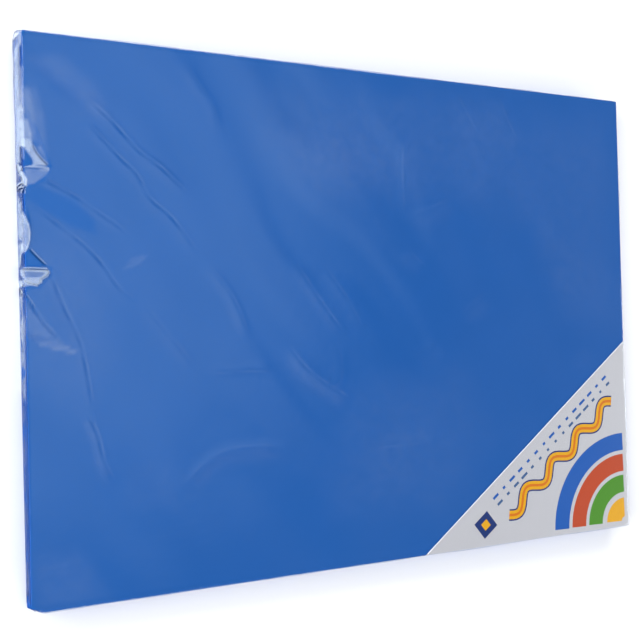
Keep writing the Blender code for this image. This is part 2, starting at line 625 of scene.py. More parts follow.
@dataclass
class FoamStack:
    """The ten foam sheets, each cut from its rectangle with a slightly ragged edge."""

    count: int = 10
    swell: float = 0.0002  # the sheets press on one another, and the CAD ones lie 0.3 mm apart
    corner_radius: float = 0.0008
    ragged: float = 0.00018
    ragged_mm: float = 28.0
    rim_spacing: float = 0.008
    least_crush: float = 0.2  # how much of the crushed corner is left at the back sheet
    crush_power: float = 0.7  # how soon it is lost towards the back, less for sooner
    seed: int = 11
    finish: FoamFinish = field(default_factory=FoamFinish)
    sheets: list[SheetPlace] = field(default_factory=list)

    def __post_init__(self) -> None:
        """Reads where the sheets lie, front one first."""
        self.sheets = [SheetPlace.read(f"foam_sheet_{i + 1:02d}") for i in range(self.count)]

    def crush_share(self, depth: Lengths) -> Lengths:
        """Returns how much of the corner's crush is left, from 0 at the front to 1 at the back."""
        return 1 - (1 - self.least_crush) * depth**self.crush_power

    def tree(self) -> bpy.types.NodeTree:
        """Builds the tree that cuts a sheet from its outline.

        Returns:
            A tree with the outline, thickness, corner radius, raggedness, seed and material.
        """
        tree, given = new_tree(
            "cut_foam_sheet",
            {
                "Base": ("NodeSocketFloat", 0.0),
                "Thickness": ("NodeSocketFloat", 0.002),
                "Corner Radius": ("NodeSocketFloat", 0.001),
                "Ragged": ("NodeSocketFloat", 0.0002),
                "Seed": ("NodeSocketFloat", 0.0),
                "Material": ("NodeSocketMaterial", None),
            },
        )
        outline = add_node(tree, "GeometryNodeMeshToCurve", {}, {"Mesh": given.outputs["Geometry"]})
        rounded = add_node(
            tree,
            "GeometryNodeFilletCurve",
            {"mode": "POLY"},
            {"Curve": outline.outputs[0], "Count": 3, "Radius": given.outputs["Corner Radius"]},
        )
        noise = add_node(
            tree,
            "ShaderNodeTexNoise",
            {"noise_dimensions": "4D"},
            {"W": given.outputs["Seed"], "Scale": per_mm(self.ragged_mm), "Detail": 3.0},
        )
        centred = add_node(
            tree,
            "ShaderNodeVectorMath",
            {"operation": "SUBTRACT"},
            {0: noise.outputs["Color"], 1: (0.5, 0.5, 0.5)},
        )
        flat = add_node(
            tree,
            "ShaderNodeVectorMath",
            {"operation": "MULTIPLY"},
            {0: centred.outputs[0], 1: (2.0, 2.0, 0.0)},
        )
        wander = add_node(
            tree,
            "ShaderNodeVectorMath",
            {"operation": "SCALE"},
            {0: flat.outputs[0], "Scale": given.outputs["Ragged"]},
        )
        cut = add_node(
            tree,
            "GeometryNodeSetPosition",
            {},
            {"Geometry": rounded.outputs[0], "Offset": wander.outputs[0]},
        )
        face = add_node(
            tree, "GeometryNodeFillCurve", {"mode": "NGONS"}, {"Curve": cut.outputs[0]}
        )
        raised = add_node(
            tree,
            "GeometryNodeExtrudeMesh",
            {"mode": "FACES"},
            {
                "Mesh": face.outputs[0],
                "Offset": (0.0, 0.0, 1.0),
                "Offset Scale": given.outputs["Thickness"],
                "Individual": False,
            },
        )
        marked = add_node(
            tree,
            "GeometryNodeStoreNamedAttribute",
            {"data_type": "FLOAT", "domain": "FACE"},
            {
                "Geometry": raised.outputs["Mesh"],
                "Selection": raised.outputs["Side"],
                "Name": "cut_edge",
                "Value": 1.0,
            },
        )
        under = add_node(tree, "GeometryNodeFlipFaces", {}, {"Mesh": face.outputs[0]})
        both = add_node(tree, "GeometryNodeJoinGeometry")
        tree.links.new(marked.outputs[0], both.inputs[0])
        tree.links.new(under.outputs[0], both.inputs[0])
        closed = add_node(
            tree, "GeometryNodeMergeByDistance", {}, {"Geometry": both.outputs[0], "Distance": 1e-6}
        )
        height = add_node(tree, "ShaderNodeCombineXYZ", {}, {"Z": given.outputs["Base"]})
        laid = add_node(
            tree,
            "GeometryNodeSetPosition",
            {},
            {"Geometry": closed.outputs[0], "Offset": height.outputs[0]},
        )
        real = add_node(tree, "GeometryNodeRealizeInstances", {}, {"Geometry": laid.outputs[0]})
        dressed = add_node(
            tree,
            "GeometryNodeSetMaterial",
            {},
            {"Geometry": real.outputs[0], "Material": given.outputs["Material"]},
        )
        add_node(tree, "NodeGroupOutput", {}, {0: dressed.outputs[0]})
        return tree

    def build(self) -> list[bpy.types.Object]:
        """Builds and dresses the sheets.

        Returns:
            The sheets, front one first.
        """
        tree = self.tree()
        material = self.finish.make()
        pieces = []
        for index, sheet in enumerate(self.sheets):
            crush = self.crush_share(index / (self.count - 1))
            ring = ring_mesh("sheet_outline", sheet.crushed(crush), self.rim_spacing)
            name = f"blue_foam_sheet_{index + 1:02d}"
            values = {
                "Base": sheet.low - self.swell / 2,
                "Thickness": sheet.high - sheet.low + self.swell,
                "Corner Radius": self.corner_radius,
                "Ragged": self.ragged,
                "Seed": float(self.seed + index),
                "Material": material,
            }
            piece = apply_tree(name, ring, tree, values)
            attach(piece, "root")
            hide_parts(sheet.node)
            pieces.append(piece)
        return pieces


class Ink(Enum):
    """The inks of the card's print, and the painted highlight along its slanting edge."""

    GREEN = "#4f8f22"
    ORANGE = "#c04a24"
    BLUE = "#1f5cae"
    NAVY = "#20356f"
    YELLOW = "#e8a91c"
    AMBER = "#d9781a"
    SLATE = "#46648f"
    # painted highlight: the white line where the film over the card's edge catches the light
    WHITE = "#eef4fa"


class Printed(Enum):
    """The kinds of printed mark."""

    BAND = "printed_band"
    DASHES = "printed_dashes"


@dataclass(frozen=True)
class PrintedLine:
    """A mark that follows a path on the card. Its points and sizes are in mm."""

    path: tuple[Vector, ...]
    width: float
    ink: Ink
    level: int = 0  # how many inks lie under it
    kind: Printed = Printed.BAND


def arc(centre: Vector, radius: float, start: float, end: float, steps: int) -> tuple[Vector, ...]:
    """Finds points along an arc.

    Args:
        centre: Its centre.
        radius: Its radius.
        start: The angle that it starts at, in degrees.
        end: The angle that it ends at.
        steps: How many short runs it has.

    Returns:
        The points, one more than the runs.
    """
    angles = [math.radians(start + (end - start) * i / steps) for i in range(steps + 1)]
    return tuple(centre + radius * Vector((math.cos(a), math.sin(a))) for a in angles)


@dataclass
class CornerCard:
    """The three-cornered card on the front sheet, with a plain pattern printed on it."""

    node: str = "corner_card"
    stock: PaperFinish = field(
        default_factory=lambda: PaperFinish("coated_card_white", "#c7c4c6", "#c1bec1")
    )
    flush: float = 0.0005  # its two edges end with the sheet's, and the CAD one stops just short
    ink_roughness: float = 0.36
    ink_specular: float = 0.15
    ink_depth: float = 0.000012
    rainbow_inset: float = 5.0  # mm from the card's two edges to the middle of the bands
    bands: tuple[tuple[float, float, Ink], ...] = (
        (83.0, 18.0, Ink.BLUE),
        (61.0, 18.0, Ink.ORANGE),
        (39.0, 18.0, Ink.GREEN),
        (14.0, 20.0, Ink.YELLOW),
    )  # each one's radius and width in mm
    band_steps: int = 28
    ribbon: tuple[tuple[float, Ink], ...] = ((11.5, Ink.NAVY), (8.5, Ink.YELLOW), (2.6, Ink.AMBER))
    ribbon_run: Point = (92.0, 262.0)  # mm along the slanting edge
    ribbon_inward: float = 38.0
    ribbon_swing: float = 6.5
    ribbon_waves: float = 4.0
    ribbon_steps: int = 96
    dash_run: Point = (92.0, 270.0)
    dash_rows: tuple[tuple[float, Ink], ...] = ((13.0, Ink.BLUE), (21.0, Ink.SLATE))
    dash_pitch: float = 12.0
    dash_lengths: Point = (2.5, 9.0)
    dash_width: float = 2.6
    seed: int = 5
    diamond_at: Point = (66.0, 26.0)
    highlight_line: Point = (0.7, 1.0)  # painted highlight line: mm in from the slanting edge, and its width
    diamond: tuple[tuple[float, Ink], ...] = ((19.0, Ink.NAVY), (8.0, Ink.YELLOW))

    def __post_init__(self) -> None:
        """Reads the card's three corners and its height."""
        low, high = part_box(self.node)
        self.right_angle = Vector((high.x, low.y))
        self.length = high.x - low.x
        self.width = high.y - low.y
        self.low = low.z
        self.top = high.z
        self.along = Vector((self.length, self.width)).normalized()  # up the long slanting edge
        self.inward = Vector((self.along.y, -self.along.x))
        self.tip = self.right_angle - Vector((self.length, 0.0))

    def at(self, along: float, inward: float) -> Vector:
        """Returns a point from its mm along the slanting edge and its mm in from it."""
        return self.tip + self.along * along * MM + self.inward * inward * MM

    def make_card(self) -> bpy.types.Object:
        """Makes the card itself.

        Returns:
            The card, as a closed three-cornered slip.
        """
        right, down = Vector((self.flush, 0.0)), Vector((0.0, -self.flush))
        upper_tip = self.right_angle + Vector((0.0, self.width))
        outline = (self.tip + down, self.right_angle + right + down, upper_tip + right)
        slip = bmesh.new()
        upper = [slip.verts.new((*p, self.top)) for p in outline]
        lower = [slip.verts.new((*p, self.low)) for p in outline]
        slip.faces.new(upper)
        slip.faces.new(lower[::-1])
        for i in range(len(outline)):
            slip.faces.new((lower[i - 1], lower[i], upper[i], upper[i - 1]))
        mesh = bpy.data.meshes.new("white_card")
        slip.to_mesh(mesh)
        slip.free()
        mesh.materials.append(self.stock.make())
        card = bpy.data.objects.new("white_card", mesh)
        bpy.context.scene.collection.objects.link(card)
        return card

    def marks(self) -> list[PrintedLine]:
        """Lays out the pattern: quarter bands, a wavy ribbon, rows of dashes and a diamond, with a painted
        highlight along the slanting edge.

        Returns:
            Every mark of it, the lowest ones first.
        """
        centre = self.right_angle + Vector((-1.0, 1.0)) * self.rainbow_inset * MM
        drawn = [
            PrintedLine(arc(centre, radius * MM, 90.0, 180.0, self.band_steps), width, ink)
            for radius, width, ink in self.bands
        ]
        start, end = self.ribbon_run
        shares = [i / self.ribbon_steps for i in range(self.ribbon_steps + 1)]
        sways = [self.ribbon_swing * math.sin(s * self.ribbon_waves * math.tau) for s in shares]
        wave = tuple(
            self.at(start + (end - start) * share, self.ribbon_inward + sway)
            for share, sway in zip(shares, sways)
        )
        drawn += [PrintedLine(wave, width, ink, i) for i, (width, ink) in enumerate(self.ribbon)]
        for inward, ink in self.dash_rows:
            row = tuple(self.at(place, inward) for place in self.dash_run)
            drawn.append(PrintedLine(row, self.dash_width, ink, kind=Printed.DASHES))
        # painted highlight along the slanting edge
        inset, width = self.highlight_line
        slant = (self.right_angle + Vector((0.0, self.width)) - self.tip).length / MM
        edge = tuple(self.at(place, inset) for place in (2 * inset, slant - 2 * inset))
        drawn.append(PrintedLine(edge, width, Ink.WHITE))
        along, inward = self.diamond_at
        for level, (size, ink) in enumerate(self.diamond):
            line = (self.at(along - size / 2, inward), self.at(along + size / 2, inward))
            drawn.append(PrintedLine(line, size, ink, level))
        return drawn

    def band_tree(self) -> bpy.types.NodeTree:
        """Builds the tree that prints a band along a path.

        Returns:
            A tree with the band's base, depth, width and material.
        """
        tree, given = new_tree(
            Printed.BAND.value,
            {
                "Base": ("NodeSocketFloat", 0.0),
                "Depth": ("NodeSocketFloat", 0.00001),
                "Width": ("NodeSocketFloat", 0.01),
                "Material": ("NodeSocketMaterial", None),
            },
        )
        path = add_node(tree, "GeometryNodeMeshToCurve", {}, {"Mesh": given.outputs["Geometry"]})
        section = add_node(
            tree,
            "GeometryNodeCurvePrimitiveQuadrilateral",
            {"mode": "RECTANGLE"},
            {"Width": given.outputs["Width"], "Height": given.outputs["Depth"]},
        )
        band = add_node(
            tree,
            "GeometryNodeCurveToMesh",
            {},
            {"Curve": path.outputs[0], "Profile Curve": section.outputs[0], "Fill Caps": True},
        )
        self.finish_tree(tree, given, band.outputs[0])
        return tree

    def dash_tree(self) -> bpy.types.NodeTree:
        """Builds the tree that prints a row of dashes of many lengths along a straight path.

        Returns:
            A tree with the dashes' base, depth, width, pitch, lengths, seed and material.
        """
        tree, given = new_tree(
            Printed.DASHES.value,
            {
                "Base": ("NodeSocketFloat", 0.0),
                "Depth": ("NodeSocketFloat", 0.00001),
                "Width": ("NodeSocketFloat", 0.002),
                "Pitch": ("NodeSocketFloat", 0.01),
                "Shortest": ("NodeSocketFloat", 0.002),
                "Longest": ("NodeSocketFloat", 0.008),
                "Seed": ("NodeSocketInt", 0),
                "Material": ("NodeSocketMaterial", None),
            },
        )
        path = add_node(tree, "GeometryNodeMeshToCurve", {}, {"Mesh": given.outputs["Geometry"]})
        places = add_node(
            tree,
            "GeometryNodeCurveToPoints",
            {"mode": "LENGTH"},
            {"Curve": path.outputs[0], "Length": given.outputs["Pitch"]},
        )
        run = add_node(
            tree, "FunctionNodeAlignRotationToVector", {"axis": "X"}, {"Vector": places.outputs["Tangent"]}
        )
        length = add_node(
            tree,
            "FunctionNodeRandomValue",
            {"data_type": "FLOAT"},
            {
                2: given.outputs["Shortest"],
                3: given.outputs["Longest"],
                "Seed": given.outputs["Seed"],
            },
        )
        size = add_node(
            tree,
            "ShaderNodeCombineXYZ",
            {},
            {"X": length.outputs[1], "Y": given.outputs["Width"], "Z": given.outputs["Depth"]},
        )
        dash = add_node(tree, "GeometryNodeMeshCube", {}, {"Size": (1.0, 1.0, 1.0)})
        row = add_node(
            tree,
            "GeometryNodeInstanceOnPoints",
            {},
            {
                "Points": places.outputs["Points"],
                "Instance": dash.outputs["Mesh"],
                "Rotation": run.outputs[0],
                "Scale": size.outputs[0],
            },
        )
        self.finish_tree(tree, given, row.outputs[0])
        return tree

    @staticmethod
    def finish_tree(tree: bpy.types.NodeTree, given: bpy.types.Node, marks: bpy.types.NodeSocket) -> None:
        """Raises the marks to the card's face and gives them their ink.

        Args:
            tree: The tree.
            given: Its Group Input node.
            marks: The marks, which lie at height 0.
        """
        real = add_node(tree, "GeometryNodeRealizeInstances", {}, {"Geometry": marks})
        half = add_node(
            tree,
            "ShaderNodeMath",
            {"operation": "MULTIPLY_ADD"},
            {0: given.outputs["Depth"], 1: 0.5, 2: given.outputs["Base"]},
        )
        height = add_node(tree, "ShaderNodeCombineXYZ", {}, {"Z": half.outputs[0]})
        laid = add_node(
            tree,
            "GeometryNodeSetPosition",
            {},
            {"Geometry": real.outputs[0], "Offset": height.outputs[0]},
        )
        inked = add_node(
            tree,
            "GeometryNodeSetMaterial",
            {},
            {"Geometry": laid.outputs[0], "Material": given.outputs["Material"]},
        )
        add_node(tree, "NodeGroupOutput", {}, {0: inked.outputs[0]})

    def make_print(self) -> bpy.types.Object:
        """Makes the print.

        Returns:
            The inked marks as one mesh.
        """
        trees = {Printed.BAND: self.band_tree(), Printed.DASHES: self.dash_tree()}
        inks = {ink: self.make_ink(ink) for ink in Ink}
        whole = bmesh.new()
        for index, line in enumerate(self.marks()):
            values = {
                "Base": self.top,
                "Depth": self.ink_depth * (line.level + 1),
                "Width": line.width * MM,
                "Material": inks[line.ink],
            }
            if line.kind is Printed.DASHES:
                shortest, longest = self.dash_lengths
                values["Pitch"] = self.dash_pitch * MM
                values["Shortest"] = shortest * MM
                values["Longest"] = longest * MM
                values["Seed"] = self.seed + index
            mark = apply_tree("mark", path_mesh(line.path), trees[line.kind], values)
            printed = len(whole.faces)
            whole.from_mesh(mark.data)
            whole.faces.ensure_lookup_table()
            for face in whole.faces[printed:]:
                face.material_index = list(Ink).index(line.ink)
            bpy.data.objects.remove(mark)
        bmesh.ops.recalc_face_normals(whole, faces=whole.faces)
        mesh = bpy.data.meshes.new("card_print")
        whole.to_mesh(mesh)
        whole.free()
        mesh.shade_flat()
        for material in inks.values():
            mesh.materials.append(material)
        made = bpy.data.objects.new("card_print", mesh)
        bpy.context.scene.collection.objects.link(made)
        return made

    def make_ink(self, ink: Ink) -> bpy.types.Material:
        """Makes an ink's material.

        Args:
            ink: The ink.

        Returns:
            Card with that ink on it, as smooth as its varnish.
        """
        name = f"printing_ink_{ink.name.lower()}"
        return PaperFinish(name, ink.value, ink.value, self.ink_roughness, self.ink_specular).make()

    def build(self) -> list[bpy.types.Object]:
        """Builds and dresses the card and its print.

        Returns:
            The two pieces.
        """
        card = self.make_card()
        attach(card, "root")
        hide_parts(self.node)
        ink = self.make_print()
        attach(ink, "root")
        return [card, ink]


def smooth(share: np.ndarray) -> np.ndarray:
    """Eases a share from 0 to 1."""
    kept = np.clip(share, 0.0, 1.0)
    return kept * kept * (3 - 2 * kept)


def curve_through(points: Sequence[Point], steps: int = 8) -> np.ndarray:
    """Runs a smooth curve through points.

    Args:
        points: The points, two or more.
        steps: How many short runs go between two of them.

    Returns:
        The points of the curve, one a row.
    """
    given = np.array(points, float)
    padded = np.vstack([2 * given[0] - given[1], given, 2 * given[-1] - given[-2]])
    rows = []
    for i in range(len(given) - 1):
        a, b, c, d = padded[i : i + 4]
        for t in np.arange(steps) / steps:
            bend = (2 * a - 5 * b + 4 * c - d) * t * t + (3 * b - a - 3 * c + d) * t**3
            rows.append(0.5 * (2 * b + (c - a) * t + bend))
    return np.array([*rows, given[-1]])


class Trace:
    """What the folds do to the film at each point: mm of lift, painted highlight and whitening, gloss, and
    painted lines.
    """

    far: ClassVar[float] = 99.0  # the mm to the nearest fold where there is none

    def __init__(self, x: np.ndarray, y: np.ndarray) -> None:
        """Starts with flat, clear film.

        Args:
            x: The points' X in mm from the front sheet's middle.
            y: Their Y.
        """
        self.x, self.y = x, y
        self.lift = np.zeros(x.shape)
        self.haze_and_highlight = np.zeros(x.shape)
        self.across = np.full(x.shape, self.far)
        self.fold = np.zeros(x.shape)
        self.gloss = np.ones(x.shape)


@dataclass(frozen=True)
class Fold:
    """A crease of the film. Its lengths are mm on the front face."""

    points: tuple[Point, ...]
    height: float
    width: float
    line: float = 0.02  # how strongly its thin lines of painted shade and painted highlight show, as a share of the pale diffuse white
    pale: float = 0.0  # and the broad band of painted highlight beside it
    steep: float = 0.6  # the width of its left flank, as a share of its right one
    fade_in: float = 0.25
    fade_out: float = 0.25
    reach: float = 10.0  # how far from the fold its thin lines are gone, less for crisper ones
    soft_reach: ClassVar[float] = 10.0
    fade_pace: ClassVar[float] = 1.8  # how quickly the lines go once they fade
    breaks: ClassVar[float] = 0.85  # how nearly a long fold's lines fade out along the way
    break_mm: ClassVar[float] = 5.0

    def mark(self, trace: Trace) -> None:
        """Adds the fold to what the film does.

        Args:
            trace: The film's lift, haze and lines, which it adds to.
        """
        x, y = trace.x, trace.y
        line = curve_through(self.points)
        runs = np.diff(line, axis=0)
        lengths = np.maximum(np.linalg.norm(runs, axis=1), 1e-6)
        total = lengths.sum()
        near, side, share = np.full(x.shape, 1e9), np.zeros(x.shape), np.zeros(x.shape)
        walked = 0.0
        for start, run, length in zip(line, runs, lengths):
            dx, dy = x - start[0], y - start[1]
            along = np.clip((dx * run[0] + dy * run[1]) / length**2, 0.0, 1.0)
            off_x, off_y = dx - along * run[0], dy - along * run[1]
            distance = np.hypot(off_x, off_y)
            closer = distance < near
            near = np.where(closer, distance, near)
            side = np.where(closer, run[0] * off_y - run[1] * off_x, side)
            share = np.where(closer, (walked + along * length) / total, share)
            walked += length
        start_taper = smooth(share / max(self.fade_in, 1e-3))
        taper = start_taper * smooth((1 - share) / max(self.fade_out, 1e-3))
        width = np.where(side > 0, self.width * self.steep, self.width)
        trace.lift += self.height * np.exp(-((near / width) ** 2)) * taper
        signed = np.where(side > 0, near, -near)
        band = np.exp(-(((signed + self.width) / self.width) ** 2))
        trace.haze_and_highlight += self.pale * band * taper
        crisp = (self.soft_reach / self.reach) ** 0.5
        closest = near * crisp < np.abs(trace.across)
        trace.across = np.where(closest, signed * crisp, trace.across)
        along = share * total / self.break_mm
        faded = 0.5 + 0.5 * np.sin(along + line[0][0]) * np.cos(along / 2.3)
        broken = 1 - self.breaks * (self.reach / self.soft_reach) ** 2 * faded
        beside = smooth((1 - near / self.reach) * self.fade_pace)
        strength = self.line * taper * broken * beside
        trace.fold = np.where(closest, strength, trace.fold)


@dataclass(frozen=True)
class Pucker:
    """A tent in the film that opens towards the edge, in mm on the front face."""

    tip: Point
    crisp: Point  # where its sharp flank meets the edge
    soft: Point  # and where its gentle one does
    height: float
    # painted highlight on the tent
    haze_and_highlight: float = 0.0
    crest: float = 0.16  # how far its ridge lies from the sharp flank
    most_reach: ClassVar[float] = 1.3  # how far past its mouth it still rises, times its length

    def mark(self, trace: Trace) -> None:
        """Adds the pucker to what the film does.

        Args:
            trace: The film's lift, haze and lines, which it adds to.
        """
        tip, crisp, soft = (np.array(p) for p in (self.tip, self.crisp, self.soft))
        to_crisp, to_soft = crisp - tip, soft - tip
        area = to_crisp[0] * to_soft[1] - to_crisp[1] * to_soft[0]
        dx, dy = trace.x - tip[0], trace.y - tip[1]
        a = (dx * to_soft[1] - dy * to_soft[0]) / area
        b = (to_crisp[0] * dy - to_crisp[1] * dx) / area
        reach = np.maximum(a + b, 1e-6)
        across = b / reach
        shape = smooth(across / self.crest) * (1 - smooth((across - self.crest) / (1 - self.crest)))
        inside = (a + b > 0) & (across > 0) & (across < 1)
        trace.lift += np.where(inside, self.height * shape * np.minimum(reach, self.most_reach), 0.0)
        trace.haze_and_highlight += np.where(inside, self.haze_and_highlight * shape * smooth(reach * 2.5), 0.0)


@dataclass(frozen=True)
class Facet:
    """A patch with painted highlight, less where its share is negative, that may also mirror more or less,
    in mm on the front face.
    """

    corners: tuple[Point, ...]
    haze_and_highlight: float
    soft: float = 0.8  # how wide its blurred rim is
    gloss: float = 0.0  # how much more it mirrors, or less

    def mark(self, trace: Trace) -> None:
        """Adds the patch to what the film does.

        Args:
            trace: The film's lift, haze and lines, which it adds to.
        """
        near = np.full(trace.x.shape, 1e9)
        inside = np.zeros(trace.x.shape, bool)
        for (ax, ay), (bx, by) in zip(self.corners, (*self.corners[1:], self.corners[0])):
            run_x, run_y = bx - ax, by - ay
            dx, dy = trace.x - ax, trace.y - ay
            along = np.clip((dx * run_x + dy * run_y) / (run_x**2 + run_y**2), 0.0, 1.0)
            near = np.minimum(near, np.hypot(dx - along * run_x, dy - along * run_y))
            if run_y:
                spans = (ay > trace.y) != (by > trace.y)
                inside ^= spans & (dx < run_x * dy / run_y)
        share = smooth(np.where(inside, near, -near) / self.soft + 0.5)
        trace.haze_and_highlight += self.haze_and_highlight * share
        trace.gloss += self.gloss * share


@dataclass(frozen=True)
class Blister:
    """A rounded bulge of loose film, in mm on the front face."""

    middle: Point
    half: Point
    height: float
    # painted sheen on the bulge
    haze_and_highlight: float = 0.0

    def mark(self, trace: Trace) -> None:
        """Adds the bulge to what the film does.

        Args:
            trace: The film's lift, haze and lines, which it adds to.
        """
        off_x, off_y = trace.x - self.middle[0], trace.y - self.middle[1]
        dome = smooth(1 - np.hypot(off_x / self.half[0], off_y / self.half[1]))
        trace.lift += self.height * dome
        trace.haze_and_highlight += self.haze_and_highlight * dome


# The long folds that run down from the upper left, and short ones elsewhere on the front, each with a
# painted shade line and a painted highlight line beside it
LONG_FOLDS = (
    Fold(
        ((-250, 175), (-232, 159), (-212, 137.5), (-193, 124), (-168, 101)),
        0.5, 4.0, 0.034, 0.006, 0.5, 0.03,
    ),
    Fold(
        ((-251, 156), (-226, 130), (-213, 117.5), (-203, 99), (-183, 81), (-158, 47)),
        0.5, 4.0, 0.032, 0.006, 0.5, 0.04,
    ),
    Fold(((-158, 47), (-135, 20), (-118, -21)), 0.4, 5.0, 0.014, 0.008),
    Fold(((-286, 110), (-262, 97.5), (-242, 83.8), (-220, 69)), 0.4, 3.0, 0.026, 0.008, 0.6, 0.08),
    Fold(
        ((-298, 92), (-281, 79), (-256, 59), (-242, 43.8), (-227, 22.5), (-210, 13)),
        0.4, 3.2, 0.030, 0.006,
    ),
    Fold(((-210, 13), (-196, -6), (-166, -42)), 0.3, 4.0, 0.012, 0.006),
    Fold(((-299, 16), (-286, -4), (-274, -17)), 0.4, 2.2, 0.036, 0.0, 0.6, 0.05),
    Fold(
        ((-281, 35), (-272, 10), (-262, -13), (-257, -32), (-250, -80)),
        0.45, 3.0, 0.032, 0.008, 0.6, 0.05,
    ),
    Fold(
        ((-255, -76), (-248, -92), (-243, -114), (-235, -132)),
        0.35, 3.4, 0.034, 0.018, 0.6, 0.1, 0.3,
    ),
    Fold(((-97, -46), (-125, -45), (-158, -46)), 0.3, 4.5, 0.016),
    Fold(((-77, 50), (-52, 14), (-27, -19)), 0.3, 4.0, 0.020, 0.006),
    Fold(((-48, 46), (-27, 17), (-9, -15)), 0.2, 3.0, 0.014, 0.004),
    Fold(((-85, -23), (-62, -50), (-25, -75)), 0.55, 5.5, 0.026, 0.014, 0.5, 0.3, 0.15),
    Fold(((-38, -20), (-33, -45), (-36, -66)), 0.2, 3.0, 0.012),
    Fold(((-173, 216), (-160, 196), (-147, 177), (-143, 152)), 0.3, 5.0, 0.010, 0.004),
    Fold(((96, 216), (108, 196), (123, 173)), 0.25, 8.0, 0.014, 0.003),
    Fold(((146, 216), (158, 190), (173, 166)), 0.25, 8.0, 0.014, 0.003),
    Fold(((38, 93), (37, 130), (38, 170)), 0.3, 7.0, 0.018, 0.004),
    Fold(((38, 91), (73, 104), (92, 112)), 0.25, 8.0, 0.010, 0.004),
    Fold(((38, 62), (48, 52), (57, 46)), 0.2, 7.0, 0.016, 0.003),
    Fold(((207, 100), (207, 83), (210, 60)), 0.2, 8.0, 0.012, 0.003),
    Fold(((226, 50), (226, 36), (223, 20)), 0.2, 8.0, 0.012, 0.003),
    Fold(((96, -3), (110, 10), (126, 20)), 0.2, 8.0, 0.008, 0.004),
    Fold(((42, -42), (58, -32), (73, -23)), 0.2, 8.0, 0.008, 0.004),
    Fold(((-185, -142), (-150, -115), (-112, -111), (-81, -117)), 0.4, 6.0, 0.014, 0.012),
    Fold(((62, -118), (30, -119), (-5, -120)), 0.3, 6.0, 0.014, 0.004),
    Fold(((226, -50), (240, -44), (255, -36)), 0.2, 7.0, 0.012, 0.003),
)

# The small crisp creases at the gathered left edge, each with a painted shade line and a painted highlight
# line
EDGE_FOLDS = (
    Fold(((-301, 118.1), (-292, 118.3), (-281.5, 118.2)), 0.6, 1.2, 0.02, 0.0, 0.8, 0.0, 0.2, 3.0),
    Fold(
        ((-293.6, 137), (-291.2, 131.0), (-286.9, 125.4), (-282, 120.5)),
        0.5, 1.1, 0.16, 0.0, 0.8, 0.2, 0.1, 3.0,
    ),
    Fold(((-304.8, 119.5), (-302, 111), (-299.5, 104)), 0.7, 1.0, 0.26, 0.0, 0.8, 0.0, 0.2, 3.0),
    Fold(
        ((-296.9, 55.4), (-294.7, 52.5), (-287.7, 45.1), (-284.2, 42.3)),
        0.4, 1.0, 0.17, 0.0, 0.8, 0.1, 0.2, 3.0,
    ),
    Fold(((-302.6, 39.7), (-294, 39.7), (-283, 39.0)), 0.7, 1.1, 0.30, 0.0, 0.8, 0.0, 0.1, 3.0),
    Fold(
        ((-282.4, 37.7), (-284.9, 34.5), (-288.8, 31.6), (-289.4, 28)),
        0.5, 1.1, 0.24, 0.0, 0.8, 0.1, 0.1, 3.0,
    ),
    Fold(((-290.5, 26.8), (-298.3, 28.4), (-301.5, 31)), 0.4, 1.0, 0.20, 0.0, 0.8, 0.1, 0.1, 3.0),
    Fold(((-300.5, 20), (-297, 15), (-293, 8)), 0.3, 1.0, 0.10, 0.0, 0.8, 0.1, 0.4, 3.0),
    Fold(((-306, 102), (-303, 105), (-299.5, 105)), 0.6, 0.8, 0.6, 0.0, 0.8, 0.0, 0.3, 2.0),
    Fold(((-306, 99.5), (-303, 102), (-300, 101.5)), 0.6, 0.8, 0.6, 0.0, 0.8, 0.0, 0.3, 2.0),
    Fold(((-302, 98.5), (-300.5, 102), (-299, 106)), 0.4, 0.8, 0.4, 0.0, 0.8, 0.0, 0.3, 2.0),
    Fold(((-306, 26), (-304, 22.5), (-303, 19)), 0.3, 0.8, 0.4, 0.0, 0.8, 0.0, 0.3, 2.0),
)

# The tents that the film makes between those creases, which open towards the edge
PUCKERS = (
    Pucker((-281, 119.5), (-301, 118.5), (-301, 158), 2.0),
    Pucker((-283, 115), (-301, 116), (-301, 104), 0.7),
    Pucker((-282, 37.5), (-301, 40.0), (-301, 27), 1.7),
    Pucker((-262, -26), (-302, -12), (-302, 18), 1.2),
)

# Patches of painted highlight, some with less of it or with less mirror, from the top down
TENT = (
    Facet(
        ((-303, 165), (-290, 150), (-279, 120), (-285, 108), (-296, 102), (-303, 106)),
        0.0, 2.0, -0.75,
    ),
    Facet(
        (
            (-301, 140), (-295.2, 139.5), (-292.2, 130.8), (-287.9, 125), (-283.4, 120.8),
            (-293.6, 120.4), (-293.8, 124.4), (-299.7, 133.3), (-301, 134),
        ),
        0.13, 1.4,
    ),
    Facet(
        (
            (-303, 156), (-296.8, 155), (-294.4, 145), (-293.6, 136.6), (-291.2, 130.4),
            (-286.9, 124.6), (-283, 120.2), (-293, 119.8), (-293.2, 124.4), (-299.2, 133.3),
            (-303, 135),
        ),
        0.14, 2.6,
    ),
    Facet(((-302, 180), (-295, 178), (-291, 160), (-292, 140), (-302, 148)), 0.034, 6.0),
    Facet(
        ((-302, 182), (-290, 180), (-285, 160), (-283, 124), (-290, 132), (-294, 140)),
        0.026, 7.0,
    ),
    Facet(((-291.5, 134.5), (-287, 135), (-282, 122), (-286, 126.5)), 0.04, 2.4),
    Facet(
        (
            (-300.8, 118.2), (-293.6, 120.4), (-281.7, 119.1), (-281.2, 117.5), (-288.1, 118),
            (-293.7, 118.2),
        ),
        0.20, 0.7,
    ),
    Facet(
        ((-299.7, 117.4), (-281.4, 117.5), (-283.6, 113.2), (-293, 106), (-299, 104.6)),
        0.09, 3.0,
    ),
    Facet(((-289, 117.6), (-281.6, 117.4), (-281.8, 115.9), (-288.5, 116.3)), 0.08, 0.8),
    Facet(
        (
            (-305.4, 120.8), (-303.5, 119.2), (-297.9, 109.1), (-298.3, 103.3), (-300.7, 104.9),
            (-304.6, 114.5),
        ),
        0.34, 0.8,
    ),
)
